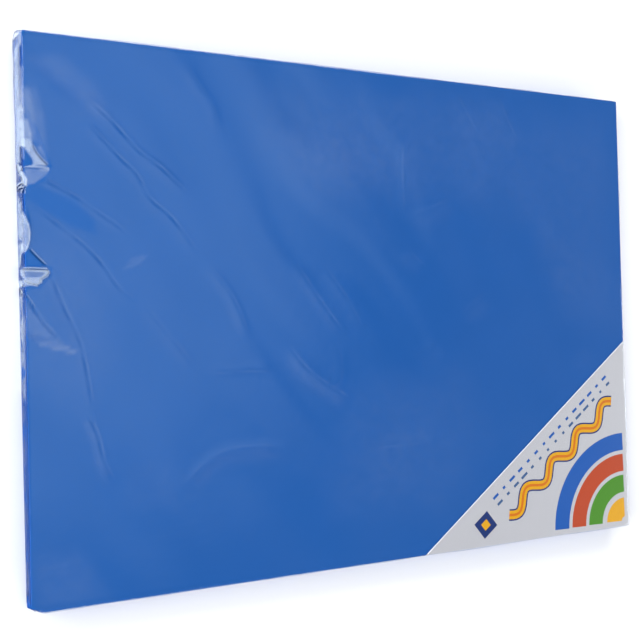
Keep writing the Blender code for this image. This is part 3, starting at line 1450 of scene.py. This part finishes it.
LENS = (
    Facet(
        (
            (-306, 98), (-303.6, 92), (-302.1, 85), (-299.4, 79.5), (-297.2, 74), (-296.1, 68),
            (-296.5, 61.8), (-298, 55.9), (-299.9, 52.8), (-302.8, 51.5), (-303.2, 56.5),
            (-304, 61.5), (-306.3, 64),
        ),
        0.25,
    ),
    Facet(((-301.4, 74.5), (-298.9, 74.5), (-298.3, 64), (-299.9, 57.5), (-301.7, 59)), -0.06, 1.0),
    Facet(
        (
            (-298.6, 76), (-297.2, 74), (-296.1, 68), (-296.5, 61.8), (-298, 56),
            (-299.9, 52.6), (-300.5, 54), (-298.8, 57), (-297.8, 62), (-297.4, 68),
            (-298.2, 73),
        ),
        0.09, 0.7,
    ),
    Facet(((-305.3, 61.6), (-302.4, 61.4), (-302.4, 59.2), (-305.3, 59.2)), -0.20, 0.8),
    Facet(
        (
            (-306.3, 59), (-301.7, 58.6), (-301.9, 55.9), (-303, 52), (-303.6, 45),
            (-304.3, 40.5), (-306, 40.5),
        ),
        0.28, 0.7,
    ),
)
LOWER_PUCKER = (
    Facet(((-304, 43), (-280, 42), (-281, 33), (-290, 24), (-304, 24)), 0.0, 1.5, -0.8),
    Facet(
        (
            (-302.8, 39.5), (-299.3, 39.2), (-283.4, 38.6), (-282.4, 37.9), (-284.6, 34.7),
            (-288.6, 31.8), (-289.1, 28.6), (-292.4, 26.8), (-298.2, 28.6), (-300.9, 30.2),
            (-301.7, 31.6), (-304, 35.1), (-304.4, 39),
        ),
        0.27,
    ),
    Facet(
        (
            (-301.5, 36.9), (-299.5, 37.6), (-289.5, 37.2), (-285.5, 36.4), (-289, 33.4),
            (-300.3, 32.8),
        ),
        -0.18, 0.9,
    ),
    Facet(
        (
            (-306.5, 30.5), (-303, 30), (-302.4, 28.3), (-303.2, 25.8), (-305, 25.4),
            (-306.5, 26),
        ),
        0.45, 0.8,
    ),
    Facet(((-304.3, 21.7), (-303.2, 21.7), (-303.2, 20), (-304.3, 20)), 0.3, 0.7),
    Facet(((-305, 31), (-299, 30.5), (-294, 27.5), (-300, 26), (-305, 25.5)), 0.14, 1.2),
)
# Broad patches of painted sheen, where the film's veil of reflection is paler or darker, with smaller
# painted highlights at the left
BROAD_PATCHES = (
    Facet(
        (
            (-302, 19), (-296, 8), (-272, -20), (-263, -25), (-268, -26.5), (-290, -19),
            (-302, -10),
        ),
        0.026, 1.6,
    ),
    Facet(
        ((-292, -17), (-278, -19), (-262.5, -24), (-264, -26.5), (-278, -23), (-291, -20)),
        0.030, 1.8,
    ),
    Facet(((-297, 205), (-270, 208), (-244, 186), (-236, 160), (-262, 178)), 0.016, 12.0),
    Facet(((-300, 60), (-262, 66), (-240, 30), (-236, -30), (-262, -70), (-300, -40)), 0.009, 40.0),
    Facet(((-60, 150), (60, 210), (150, 205), (120, 120), (20, 110)), 0.008, 60.0),
    Facet(((-110, 205), (0, 205), (20, 130), (-60, 110), (-110, 150)), 0.008, 50.0),
    Facet(((110, 190), (290, 210), (290, -20), (220, 0), (190, 90), (110, 120)), 0.007, 60.0),
    Facet(((-20, -70), (90, -60), (130, -120), (60, -190), (-40, -170)), 0.007, 60.0),
    Facet(((-225, 40), (-212, 44), (-206, 52), (-218, 50)), 0.016, 3.0),
    Facet(
        ((-300, 101), (-288, 104), (-262, 95), (-247, 78), (-247, 68), (-262, 72), (-298, 93)),
        -0.002, 5.0, -0.5,
    ),
    Facet(((-303, 52), (-296.5, 55), (-284.5, 41.5), (-303, 41.5)), -0.01, 1.5, -0.6),
    Facet(((-228, -150), (-186, -156), (-190, -120), (-225, -118)), 0.004, 16.0),
    Facet(((-4, -166), (40, -164), (37, -118), (-2, -120)), 0.003, 18.0),
    Facet(((-70, 60), (70, 60), (90, -40), (-40, -60)), -0.003, 50.0),
    Facet(((-298, -180), (-262, -185), (-240, -222), (-298, -222)), 0.010, 20.0),
)

# The film that stands off the left end, as it shows from the front: painted highlight bands where its
# shoulders would mirror the lamps, and less mirror there
LEFT_END = (
    Facet(((-304, 226), (-299, 226), (-299, 104), (-304, 104)), 0.0, 1.2, -0.8),
    Facet(((-310, 98), (-299, 98), (-299, -226), (-310, -226)), 0.0, 1.2, -0.98),
    Facet(
        (
            (-305.6, 212), (-303.7, 212), (-303.5, 190), (-303.1, 122), (-305.6, 121),
            (-306, 170),
        ),
        0.26, 0.7,
    ),
    Facet(((-303.5, 188), (-302.2, 178), (-302.2, 136), (-303.6, 124)), 0.22, 0.8),
    Facet(((-304, 226), (-300.4, 226), (-300.4, 213), (-304, 215)), 0.24, 0.8),
    Facet(((-303, 211), (-299.4, 211), (-299.4, 204), (-303, 204)), -0.2, 1.0),
    Facet(((-301.6, 196), (-300.4, 196), (-300.3, 166), (-301.5, 166)), 0.16, 0.7),
    Facet(((-302.3, 168), (-299.6, 164), (-299.6, 134), (-302.3, 134)), 0.26, 1.2),
    Facet(((-301.1, 136), (-299.9, 136), (-300, 124), (-301.1, 124)), 0.12, 0.6),
    Facet(
        (
            (-305.6, 19), (-303, 19), (-302.9, 0), (-303.2, -30), (-304, -50), (-305, -58),
            (-305.5, -5),
        ),
        0.28, 1.0,
    ),
    Facet(((-302.1, -30), (-301.2, -30), (-301.2, -222), (-302.1, -222)), 0.04, 0.6),
    Facet(((-303.4, 4), (-301.4, 4), (-301.0, -20), (-301.6, -62), (-303.4, -62)), 0.12, 1.2),
)
BLISTERS = (
    Blister((-301, 70), (6.5, 22), 1.8),
    Blister((-304, 47), (3.5, 10), 0.8),
    Blister((-43, 139), (78, 70), 0.5, 0.005),
    Blister((-252, 168), (34, 26), 0.5, 0.004),
    Blister((35, 197), (30, 16), 0.2, 0.003),
    Blister((48, 54), (26, 16), 0.2, 0.002),
)
FEATURES = (
    *LONG_FOLDS,
    *EDGE_FOLDS,
    *PUCKERS,
    *TENT,
    *LENS,
    *LOWER_PUCKER,
    *BROAD_PATCHES,
    *LEFT_END,
    *BLISTERS,
)

# How finely the front panel is divided, in mm from its middle: finest at the puckers
COLUMN_SPACINGS = ((-300, 0.7), (-278, 2.0), (-240, 3.0), (-100, 6.0))
ROW_SPACINGS = (
    (-225, 5.5),
    (-140, 3.4),
    (15, 1.5),
    (25, 0.8),
    (60, 1.6),
    (97, 0.8),
    (124, 1.8),
    (165, 3.6),
)


def graded(start: float, end: float, spacings: Sequence[tuple[float, float]]) -> np.ndarray:
    """Divides a length more finely in some places than in others.

    Args:
        start: Where the length starts, in mm.
        end: Where it ends.
        spacings: Places in order, each with the spacing from there on.

    Returns:
        The dividing points, both ends among them.
    """
    marks = [start]
    for (place, spacing), after in zip(spacings, [*spacings[1:], (end, 0.0)]):
        stretch = min(after[0], end) - marks[-1]
        count = max(round(stretch / spacing), 1)
        first = marks[-1]
        marks += [first + stretch * (i + 1) / count for i in range(count)]
    return np.array(marks)


@dataclass
class FilmBag:
    """The clear bag, drawn round the fanned stack, with its two lips on the left end."""

    stack: FoamStack
    card: CornerCard
    node: str = "clear_bag"
    wall: float = 0.00007
    air_gap: float = 0.00013  # between the film and the front sheet or the card
    side_gap: float = 0.0004
    under: float = 0.00004  # between the film and the floor
    left_gap: float = 0.0003
    shoulder: float = 0.0011
    loose_shoulder: float = 0.0018
    loose_left: float = 0.0024
    shoulder_from: float = -0.2  # the shares up from which the left end's film is loose
    loose_from: float = -0.1
    weld_ridge: float = 0.0005
    weld_row: int = 6  # the level of the side that the weld runs along
    slit_row: int = 9  # and the one where the mouth's lips part
    slit_span: Point = (-0.96, 0.99)  # its ends, as shares from the lower to the upper edge
    lip_rises: tuple[float, ...] = (0.0012, 0.005, 0.010, 0.016)
    lip_inset: float = 0.00014
    ramp: float = 0.0022
    crush: Point = (9.0, 5.0)
    tuck: Point = (1.6, 1.6)
    air_lift: float = 0.7  # mm
    drift: float = 0.75  # radians from X to the way that the film's soft waves follow one another
    drift_spread: float = 0.6
    air_waves: int = 14
    air_lengths: Point = (38.0, 130.0)  # mm
    air_contrast: float = 2.2
    ripple_waves: int = 6
    ripple_lengths: Point = (16.0, 60.0)  # mm
    ripple_depth: float = 0.00012
    fade_depth: float = 0.007  # how far down the sides the front's folds run on
    side_levels: tuple[float, ...] = (17.0, 12.8, 12.1, 11.4, 8.5, 5.2, 2.8)  # mm up from the floor
    shoulder_levels: int = 4
    rim_painted_shade: float = 0.02  # painted shade: how dark the line is that runs round the front face, on the film's shoulder
    rim_gloss: float = 0.25
    clear_haze: float = 0.001
    # painted sheen: the film drawn paler where it stands off the foam
    air_haze: float = 0.002
    most_haze: float = 0.7
    gloss_range: Point = (0.02, 2.0)
    seed: int = 23
    at_end: float = 0.999  # the share across past which a point is on an end
    finish: FilmFinish = field(default_factory=FilmFinish)

    def __post_init__(self) -> None:
        """Works out the levels that the film passes on its way down the sides."""
        sheets = self.stack.sheets
        self.heights = np.array([(s.low + s.high) / 2 for s in sheets])[::-1]
        self.frames = np.array([self.rectangle(s) for s in sheets])[::-1]
        self.front = sheets[0]
        self.middle = sum(self.front.corners, Vector((0.0, 0.0))) / 4
        self.top = self.front.high + self.stack.swell / 2 + self.air_gap + self.wall

    @staticmethod
    def rectangle(sheet: SheetPlace) -> tuple[float, float, float, float, float]:
        """Measures a sheet's rectangle.

        Args:
            sheet: Where the sheet lies.

        Returns:
            The X and Y of its centre, half its length and width, and its turn.
        """
        lower_left, lower_right, upper_right, upper_left = sheet.corners
        centre = (lower_left + upper_right) / 2
        across, up = lower_right - lower_left, upper_left - lower_left
        return centre.x, centre.y, across.length / 2, up.length / 2, math.atan2(across.y, across.x)

    def outline_at(self, s: np.ndarray, t: np.ndarray, out: np.ndarray, z: np.ndarray) -> np.ndarray:
        """Places points on the stack's outline.

        Args:
            s: Their share across, from -1 on the left to 1 on the right.
            t: Their share up, from -1 to 1.
            out: How far outside the sheets they lie.
            z: Their heights, which say which sheet they go round.

        Returns:
            The points' X and Y, one pair a row.
        """
        cx, cy, hx, hy, turn = (np.interp(z, self.heights, self.frames[:, i]) for i in range(5))
        x, y = (hx + out) * s, (hy + out) * t
        depth = np.clip((self.heights[-1] - z) / (self.heights[-1] - self.heights[0]), 0.0, 1.0)
        crush = self.stack.crush_share(depth) * MM
        for sx, sy, (reach_x, reach_y), scale in (
            (-1, -1, self.crush, crush),
            (1, -1, self.tuck, MM),
            (1, 1, self.tuck, MM),
            (-1, 1, self.tuck, MM),
        ):
            x, y = self.blunt(x, y, (hx + out) * sx, (hy + out) * sy, reach_x * scale, reach_y * scale)
        cos, sin = np.cos(turn), np.sin(turn)
        return np.stack([cx + x * cos - y * sin, cy + x * sin + y * cos], axis=-1)

    @staticmethod
    def blunt(
        x: np.ndarray, y: np.ndarray, cx: np.ndarray, cy: np.ndarray, a: Lengths, b: Lengths
    ) -> tuple[np.ndarray, np.ndarray]:
        """Pulls the points near a corner in, so that the corner is cut off.

        Args:
            x: The points' X.
            y: The points' Y.
            cx: The corner's X.
            cy: The corner's Y.
            a: How much of the X side is cut off.
            b: How much of the Y side is.

        Returns:
            The new X and Y.
        """
        reach = 3.0  # how far the pull is felt, times the cut
        px, py = (cx - x) * np.sign(cx), (cy - y) * np.sign(cy)
        share = px / a + py / b
        near = share < reach
        scale = np.where(near, (1 + share * (reach - 1) / reach) / np.maximum(share, 1e-9), 1.0)
        corner = share < 1e-6
        px = np.where(corner, a / 2, px * scale)
        py = np.where(corner, b / 2, py * scale)
        return cx - px * np.sign(cx), cy - py * np.sign(cy)

    def seen_from_front(self, place: np.ndarray, z: np.ndarray) -> tuple[np.ndarray, np.ndarray]:
        """Finds where points on the bag's sides show when the pack is seen from the front.

        Args:
            place: The points' X and Y, one pair a row.
            z: Their heights.

        Returns:
            X and Y on the plane of the front face, in mm from its middle.
        """
        eye_x, eye_y, eye_height = CAMERA_STAND
        scale = eye_height / (eye_height + self.front.high - z)
        x = eye_x + (place[:, 0] - self.middle.x - eye_x) * scale
        y = eye_y + (place[:, 1] - self.middle.y - eye_y) * scale
        return x / MM, y / MM

    def wrinkles(self, x: np.ndarray, y: np.ndarray) -> Trace:
        """Adds up every fold, pucker, patch and bulge.

        Args:
            x: The points' X in mm from the front sheet's middle.
            y: Their Y.

        Returns:
            The film's lift, haze and lines at each point.
        """
        trace = Trace(x, y)
        for feature in FEATURES:
            feature.mark(trace)
        rng = random.Random(self.seed)
        swell = np.zeros(x.shape)
        for _ in range(self.air_waves):
            angle = rng.gauss(self.drift, self.drift_spread)
            length = rng.uniform(*self.air_lengths)
            phase = rng.uniform(0, math.tau)
            swell += np.sin((x * math.cos(angle) + y * math.sin(angle)) * math.tau / length + phase)
        air = np.clip(swell / self.air_waves * self.air_contrast + 0.5, 0.0, 1.0)
        trace.lift += self.air_lift * air
        haze_and_highlight = trace.haze_and_highlight + self.clear_haze + self.air_haze * air
        trace.haze_and_highlight = np.clip(haze_and_highlight, 0.0, self.most_haze)
        trace.gloss = np.clip(trace.gloss, *self.gloss_range)
        return trace

    def build_mesh(self) -> bpy.types.Mesh:
        """Builds the film's surface: front panel, sides, back and inner lip.

        Returns:
            The mesh, with the film's haze, lines and gloss as attributes.
        """
        half_x, half_y = HALF_FACE
        columns = graded(-half_x, half_x, COLUMN_SPACINGS)
        rows = graded(-half_y, half_y, ROW_SPACINGS)
        nx, ny = len(columns), len(rows)
        s, t = np.meshgrid(columns / half_x, rows / half_y)
        inset = np.full(s.shape, -self.shoulder)
        level = np.full(s.shape, self.top)
        flat = self.outline_at(s, t, inset, level)
        x, y = (flat[..., 0] - self.middle.x) / MM, (flat[..., 1] - self.middle.y) / MM
        trace = self.wrinkles(x, y)
        lift = trace.lift
        card_depth = ((flat - np.array(self.card.tip)) @ np.array(self.card.inward)) / self.ramp
        on_card = smooth(card_depth + 1)
        step = self.card.top - self.front.high - self.stack.swell / 2
        z = self.top + lift * MM + step * on_card
        points = [np.dstack([flat, z]).reshape(-1, 3)]
        marks = {key: [getattr(trace, key).ravel()] for key in ("haze_and_highlight", "across", "fold", "gloss")}
        ring = self.grid_ring(nx, ny)
        ring_s, ring_t = s.ravel()[ring], t.ravel()[ring]
        ring_lift, ring_z = lift.ravel()[ring] * MM, z.ravel()[ring] - lift.ravel()[ring] * MM
        left = (ring_s < -self.at_end).astype(float)
        loose = (self.loose_shoulder - self.shoulder) * left
        radius = self.shoulder + loose * np.clip(ring_t - self.shoulder_from, 0, 1)
        gap = self.side_gap + (self.left_gap - self.side_gap) * left
        rng = random.Random(self.seed + 1)
        ripple = np.zeros(len(ring))
        for _ in range(self.ripple_waves):
            length = rng.uniform(*self.ripple_lengths)
            phase = rng.uniform(0, math.tau)
            ripple += np.sin((ring_t * half_y + ring_s * half_x) * math.tau / length + phase)
        droop = self.loose_left * np.clip((ring_t - self.loose_from) / (1 - self.loose_from), 0, 1)
        bulge = left * (droop + self.ripple_depth * ripple)
        faces = [(a, a + 1, a + nx + 1, a + nx) for a in self.grid_cells(nx, ny)]
        upper = ring
        below_slit: list[int] = []
        slit = self.left_run(ring_s, ring_t)
        profile = self.profile(radius, ring_z)
        for index, (out, depth, height, outward, upward) in enumerate(profile):
            fade = np.exp(-depth / self.fade_depth)
            swing = np.sin(np.clip(depth / (self.top - MM), 0, 1) * math.pi)
            ridge = self.weld_ridge * (np.abs(ring_s) < self.at_end) if index == self.weld_row else 0.0
            push = gap + out + bulge * swing + ring_lift * fade * outward + ridge
            place = self.outline_at(ring_s, ring_t, push, height)
            base = sum(len(p) for p in points)
            points.append(np.column_stack([place, height + ring_lift * fade * upward]))
            side = self.wrinkles(*self.seen_from_front(place, height))
            turned = index < self.shoulder_levels
            rim = {
                "haze_and_highlight": trace.haze_and_highlight.ravel()[ring] * fade,
                "fold": np.full(len(ring), self.rim_painted_shade if turned else 0.0),
                "across": np.full(len(ring), self.finish.dark_beside),
                "gloss": np.full(len(ring), self.rim_gloss if turned else 1.0),
            }
            for key, values in marks.items():
                values.append(np.where(left > 0, getattr(side, key), rim[key]))
            lower = np.arange(base, base + len(ring))
            faces += self.band(upper, lower, slit if below_slit else (), below_slit)
            below_slit = []
            upper = lower
            if index == self.slit_row:
                start = base + len(ring)
                doubled = points[-1][slit[1:-1]]
                points.append(doubled)
                for key, values in marks.items():
                    values.append(np.full(len(doubled), float(key == "gloss")))
                between = range(start, start + len(doubled))
                below_slit = [int(lower[slit[0]]), *between, int(lower[slit[-1]])]
                faces += self.inner_lip(points, marks, below_slit, ring_s, ring_t, slit, push)
        faces.append(tuple(int(i) for i in upper[::-1]))
        mesh = bpy.data.meshes.new("film_bag")
        mesh.from_pydata(np.vstack(points).tolist(), [], [tuple(map(int, f)) for f in faces])
        for name, values in marks.items():
            numbers = np.concatenate(values).astype(np.float32)
            mesh.attributes.new(name, "FLOAT", "POINT").data.foreach_set("value", numbers)
        mesh.shade_smooth()
        return mesh

    def profile(self, radius: np.ndarray, ring_z: np.ndarray) -> list[tuple]:
        """Lists the levels of the film's side, top to bottom.

        Args:
            radius: The shoulder's radius at each point of the ring.
            ring_z: The height that the front panel ends at there.

        Returns:
            For each level, how far out it is, its depth and height, and which way a lift goes.
        """
        levels = []
        for angle in (22.5, 45.0, 67.5, 90.0):
            a = math.radians(angle)
            out = radius * (math.sin(a) - 1)
            drop = radius * (1 - math.cos(a))
            levels.append((out, drop, ring_z - drop, math.sin(a), math.cos(a)))
        for height in self.side_levels:
            z = np.full(radius.shape, height * MM)
            levels.append((np.zeros(radius.shape), ring_z - z, z, 1.0, 0.0))
        low = self.shoulder
        for angle in (90.0, 60.0, 30.0, 0.0):
            a = math.radians(angle)
            out = np.full(radius.shape, -low + low * math.sin(a) - (0.0 if angle else self.side_gap))
            z = np.full(radius.shape, self.under + low * (1 - math.cos(a)))
            levels.append((out, ring_z - z, z, 1.0, 0.0))
        return levels

    @staticmethod
    def grid_cells(nx: int, ny: int) -> list[int]:
        """Returns the first corner of each cell of a grid."""
        return [j * nx + i for j in range(ny - 1) for i in range(nx - 1)]

    @staticmethod
    def grid_ring(nx: int, ny: int) -> np.ndarray:
        """Lists a grid's rim.

        Args:
            nx: How many points it has across.
            ny: And how many up.

        Returns:
            The points of the rim, anticlockwise from the lower left corner.
        """
        lower = list(range(nx - 1))
        right = [j * nx + nx - 1 for j in range(ny - 1)]
        upper = [(ny - 1) * nx + i for i in range(nx - 1, 0, -1)]
        left = [j * nx for j in range(ny - 1, 0, -1)]
        return np.array(lower + right + upper + left)

    def left_run(self, ring_s: np.ndarray, ring_t: np.ndarray) -> list[int]:
        """Lists the rim's points down the left end, without those of its cut corners.

        Args:
            ring_s: The rim's shares across.
            ring_t: The rim's shares up.

        Returns:
            Their places on the rim, in order.
        """
        low, high = self.slit_span
        on_run = (ring_s < -self.at_end) & (ring_t > low) & (ring_t < high)
        return [int(i) for i in np.flatnonzero(on_run)]

    @staticmethod
    def band(
        upper: np.ndarray, lower: np.ndarray, slit: Sequence[int], swap: Sequence[int]
    ) -> list[tuple[int, int, int, int]]:
        """Joins two levels of the side with faces.

        Args:
            upper: The upper level's points.
            lower: The lower level's points.
            slit: The places on the rim where the upper level is cut open.
            swap: The points that take the upper level's place there.

        Returns:
            The faces.
        """
        changed = upper.copy()
        for place, point in zip(slit, swap):
            changed[place] = point
        count = len(upper)
        faces = []
        for i in range(count):
            after = (i + 1) % count
            faces.append((changed[i], lower[i], lower[after], changed[after]))
        return faces

    def inner_lip(
        self,
        points: list[np.ndarray],
        marks: dict[str, list[np.ndarray]],
        start: Sequence[int],
        ring_s: np.ndarray,
        ring_t: np.ndarray,
        slit: Sequence[int],
        push: np.ndarray,
    ) -> list[tuple[int, int, int, int]]:
        """Runs the back panel's lip up behind the front panel's one.

        Args:
            points: The mesh's points so far, which it adds to.
            marks: Their haze and lines, which it adds to.
            start: The points that the lip starts from.
            ring_s: The rim's shares across.
            ring_t: The rim's shares up.
            slit: The rim's places along the slit.
            push: How far outside the sheets the film is there.

        Returns:
            The lip's faces.
        """
        lower = list(start)
        base_z = points[-1][0, 2]
        faces = []
        for rise in self.lip_rises:
            z = np.full(len(slit), base_z + rise)
            out = push[slit] - self.lip_inset
            place = self.outline_at(ring_s[slit], ring_t[slit], out, z)
            first = sum(len(p) for p in points)
            points.append(np.column_stack([place, z]))
            for key, values in marks.items():
                values.append(np.full(len(slit), float(key == "gloss")))
            upper = list(range(first, first + len(slit)))
            for i in range(len(slit) - 1):
                faces.append((upper[i], lower[i], lower[i + 1], upper[i + 1]))
            lower = upper
        return faces

    def build(self) -> bpy.types.Object:
        """Builds and dresses the bag.

        Returns:
            The bag.
        """
        mesh = self.build_mesh()
        mesh.materials.append(self.finish.make())
        bag = bpy.data.objects.new("film_bag", mesh)
        bpy.context.scene.collection.objects.link(bag)
        walls = bag.modifiers.new("film_wall", "SOLIDIFY")
        walls.thickness = self.wall
        walls.offset = -1.0
        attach(bag, "root")
        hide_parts(self.node)
        return bag


@dataclass(frozen=True)
class SoftBox:
    """A large soft lamp that points at the pack."""

    name: str
    place: tuple[float, float, float]
    size: Point
    power: float
    colour: str = "#ffffff"

    def make(self) -> None:
        """Hangs the lamp."""
        data = bpy.data.lights.new(self.name, "AREA")
        data.shape = "RECTANGLE"
        data.size, data.size_y = self.size
        data.energy = self.power
        data.color = linear(self.colour)[:3]
        lamp = bpy.data.objects.new(self.name, data)
        bpy.context.scene.collection.objects.link(lamp)
        lamp.location = self.place
        lamp.rotation_euler = (-Vector(self.place)).to_track_quat("-Z", "Y").to_euler()
        lamp.visible_camera = False


@dataclass
class Studio:
    """The pale floor, the soft light and the camera."""

    middle: Vector
    face: float  # the height of the front sheet's face
    stand: tuple[float, float, float] = CAMERA_STAND
    yaw: float = 24.284
    pitch: float = -1.032
    roll: float = 1.350
    lens: float = 47.23
    floor_size: float = 9.0
    glow_towards: tuple[float, float, float] = (0.10, 0.12, 0.987)
    glow: str = "#b2c9d5"
    dusk: str = "#303337"
    backdrop: str = "#f4f5f6"
    boxes: tuple[SoftBox, ...] = (
        SoftBox("left_box", (-1.9, 0.25, 1.3), (2.0, 1.6), 56.0),
        SoftBox("back_box", (0.35, 2.1, 1.55), (2.2, 1.0), 42.0),
        SoftBox("right_box", (2.3, -0.5, 1.05), (1.4, 0.9), 30.0),
        SoftBox("front_box", (0.1, -2.2, 1.5), (2.0, 0.9), 32.0),
    )

    def make_floor(self) -> bpy.types.Object:
        """Makes the floor.

        Returns:
            The floor, a broad sheet of matte background paper.
        """
        mesh = bpy.data.meshes.new("studio_floor")
        paper = bmesh.new()
        bmesh.ops.create_grid(paper, x_segments=6, y_segments=6, size=self.floor_size / 2)
        paper.to_mesh(mesh)
        paper.free()
        finish = PaperFinish("matte_background_paper", "#f7f7f8", "#f4f4f6", 0.9, fibre_mm=2.5)
        mesh.materials.append(finish.make())
        floor = bpy.data.objects.new("studio_floor", mesh)
        bpy.context.scene.collection.objects.link(floor)
        return floor

    def make_world(self) -> None:
        """Makes the dim surroundings, brightest where the front face mirrors them."""
        world = bpy.data.worlds.new("soft_studio")
        world.use_nodes = True
        tree = world.node_tree
        tree.nodes.clear()
        way = add_node(tree, "ShaderNodeTexCoord").outputs["Generated"]
        towards = Vector(self.glow_towards).normalized()
        facing = add_node(
            tree, "ShaderNodeVectorMath", {"operation": "DOT_PRODUCT"}, {0: way, 1: tuple(towards)}
        )
        share = add_node(
            tree,
            "ShaderNodeMapRange",
            {"interpolation_type": "SMOOTHSTEP"},
            {"Value": facing.outputs["Value"], "From Min": 0.90, "From Max": 1.0},
        )
        seen = add_node(
            tree,
            "ShaderNodeMix",
            COLOURS,
            {0: share.outputs[0], 6: linear(self.dusk), 7: linear(self.glow)},
        )
        eye = add_node(tree, "ShaderNodeLightPath").outputs["Is Camera Ray"]
        colour = add_node(
            tree, "ShaderNodeMix", COLOURS, {0: eye, 6: seen.outputs[2], 7: linear(self.backdrop)}
        )
        sky = add_node(
            tree, "ShaderNodeBackground", {}, {"Color": colour.outputs[2], "Strength": 1.0}
        )
        add_node(tree, "ShaderNodeOutputWorld", {}, {"Surface": sky.outputs[0]})
        bpy.context.scene.world = world

    def make_camera(self) -> None:
        """Places the camera as the photograph was taken, above the pack's left end."""
        yaw, pitch, roll = (math.radians(a) for a in (self.yaw, self.pitch, self.roll))
        turn = Matrix(
            ((math.cos(yaw), 0, math.sin(yaw)), (0, 1, 0), (-math.sin(yaw), 0, math.cos(yaw)))
        )
        tilt = Matrix(
            ((1, 0, 0), (0, math.cos(pitch), -math.sin(pitch)), (0, math.sin(pitch), math.cos(pitch)))
        )
        lean = Matrix(
            ((math.cos(roll), -math.sin(roll), 0), (math.sin(roll), math.cos(roll), 0), (0, 0, 1))
        )
        data = bpy.data.cameras.new("camera")
        data.lens = self.lens
        data.sensor_width = 36.0
        data.clip_start = 0.02
        data.clip_end = 50.0
        camera = bpy.data.objects.new("camera", data)
        bpy.context.scene.collection.objects.link(camera)
        place = Vector((self.middle.x, self.middle.y, self.face)) + Vector(self.stand)
        axes = (lean @ tilt @ turn).transposed()
        camera.matrix_world = Matrix.Translation(place) @ axes.to_4x4()
        bpy.context.scene.camera = camera

    def build(self) -> None:
        """Builds the floor, lamps, surroundings and camera."""
        self.make_floor()
        for box in self.boxes:
            box.make()
        self.make_world()
        self.make_camera()
        bpy.context.scene.view_settings.view_transform = "Standard"


def triangles(piece: bpy.types.Object) -> int:
    """Counts a piece's triangles with its modifiers.

    Args:
        piece: The piece.

    Returns:
        How many there are.
    """
    graph = bpy.context.evaluated_depsgraph_get()
    mesh = piece.evaluated_get(graph).to_mesh()
    return sum(len(p.vertices) - 2 for p in mesh.polygons)


def main() -> None:
    """Builds the pack and the studio, and logs each piece's triangles."""
    logging.basicConfig(level=logging.INFO, format="%(message)s")
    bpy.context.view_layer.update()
    stack = FoamStack()
    card = CornerCard()
    bag = FilmBag(stack, card)
    for piece in (*stack.build(), *card.build(), bag.build()):
        LOG.info("%s: %d triangles", piece.name, triangles(piece))
    Studio(bag.middle, bag.front.high).build()
    LOG.info("studio built")


if __name__ == "__main__":
    main()
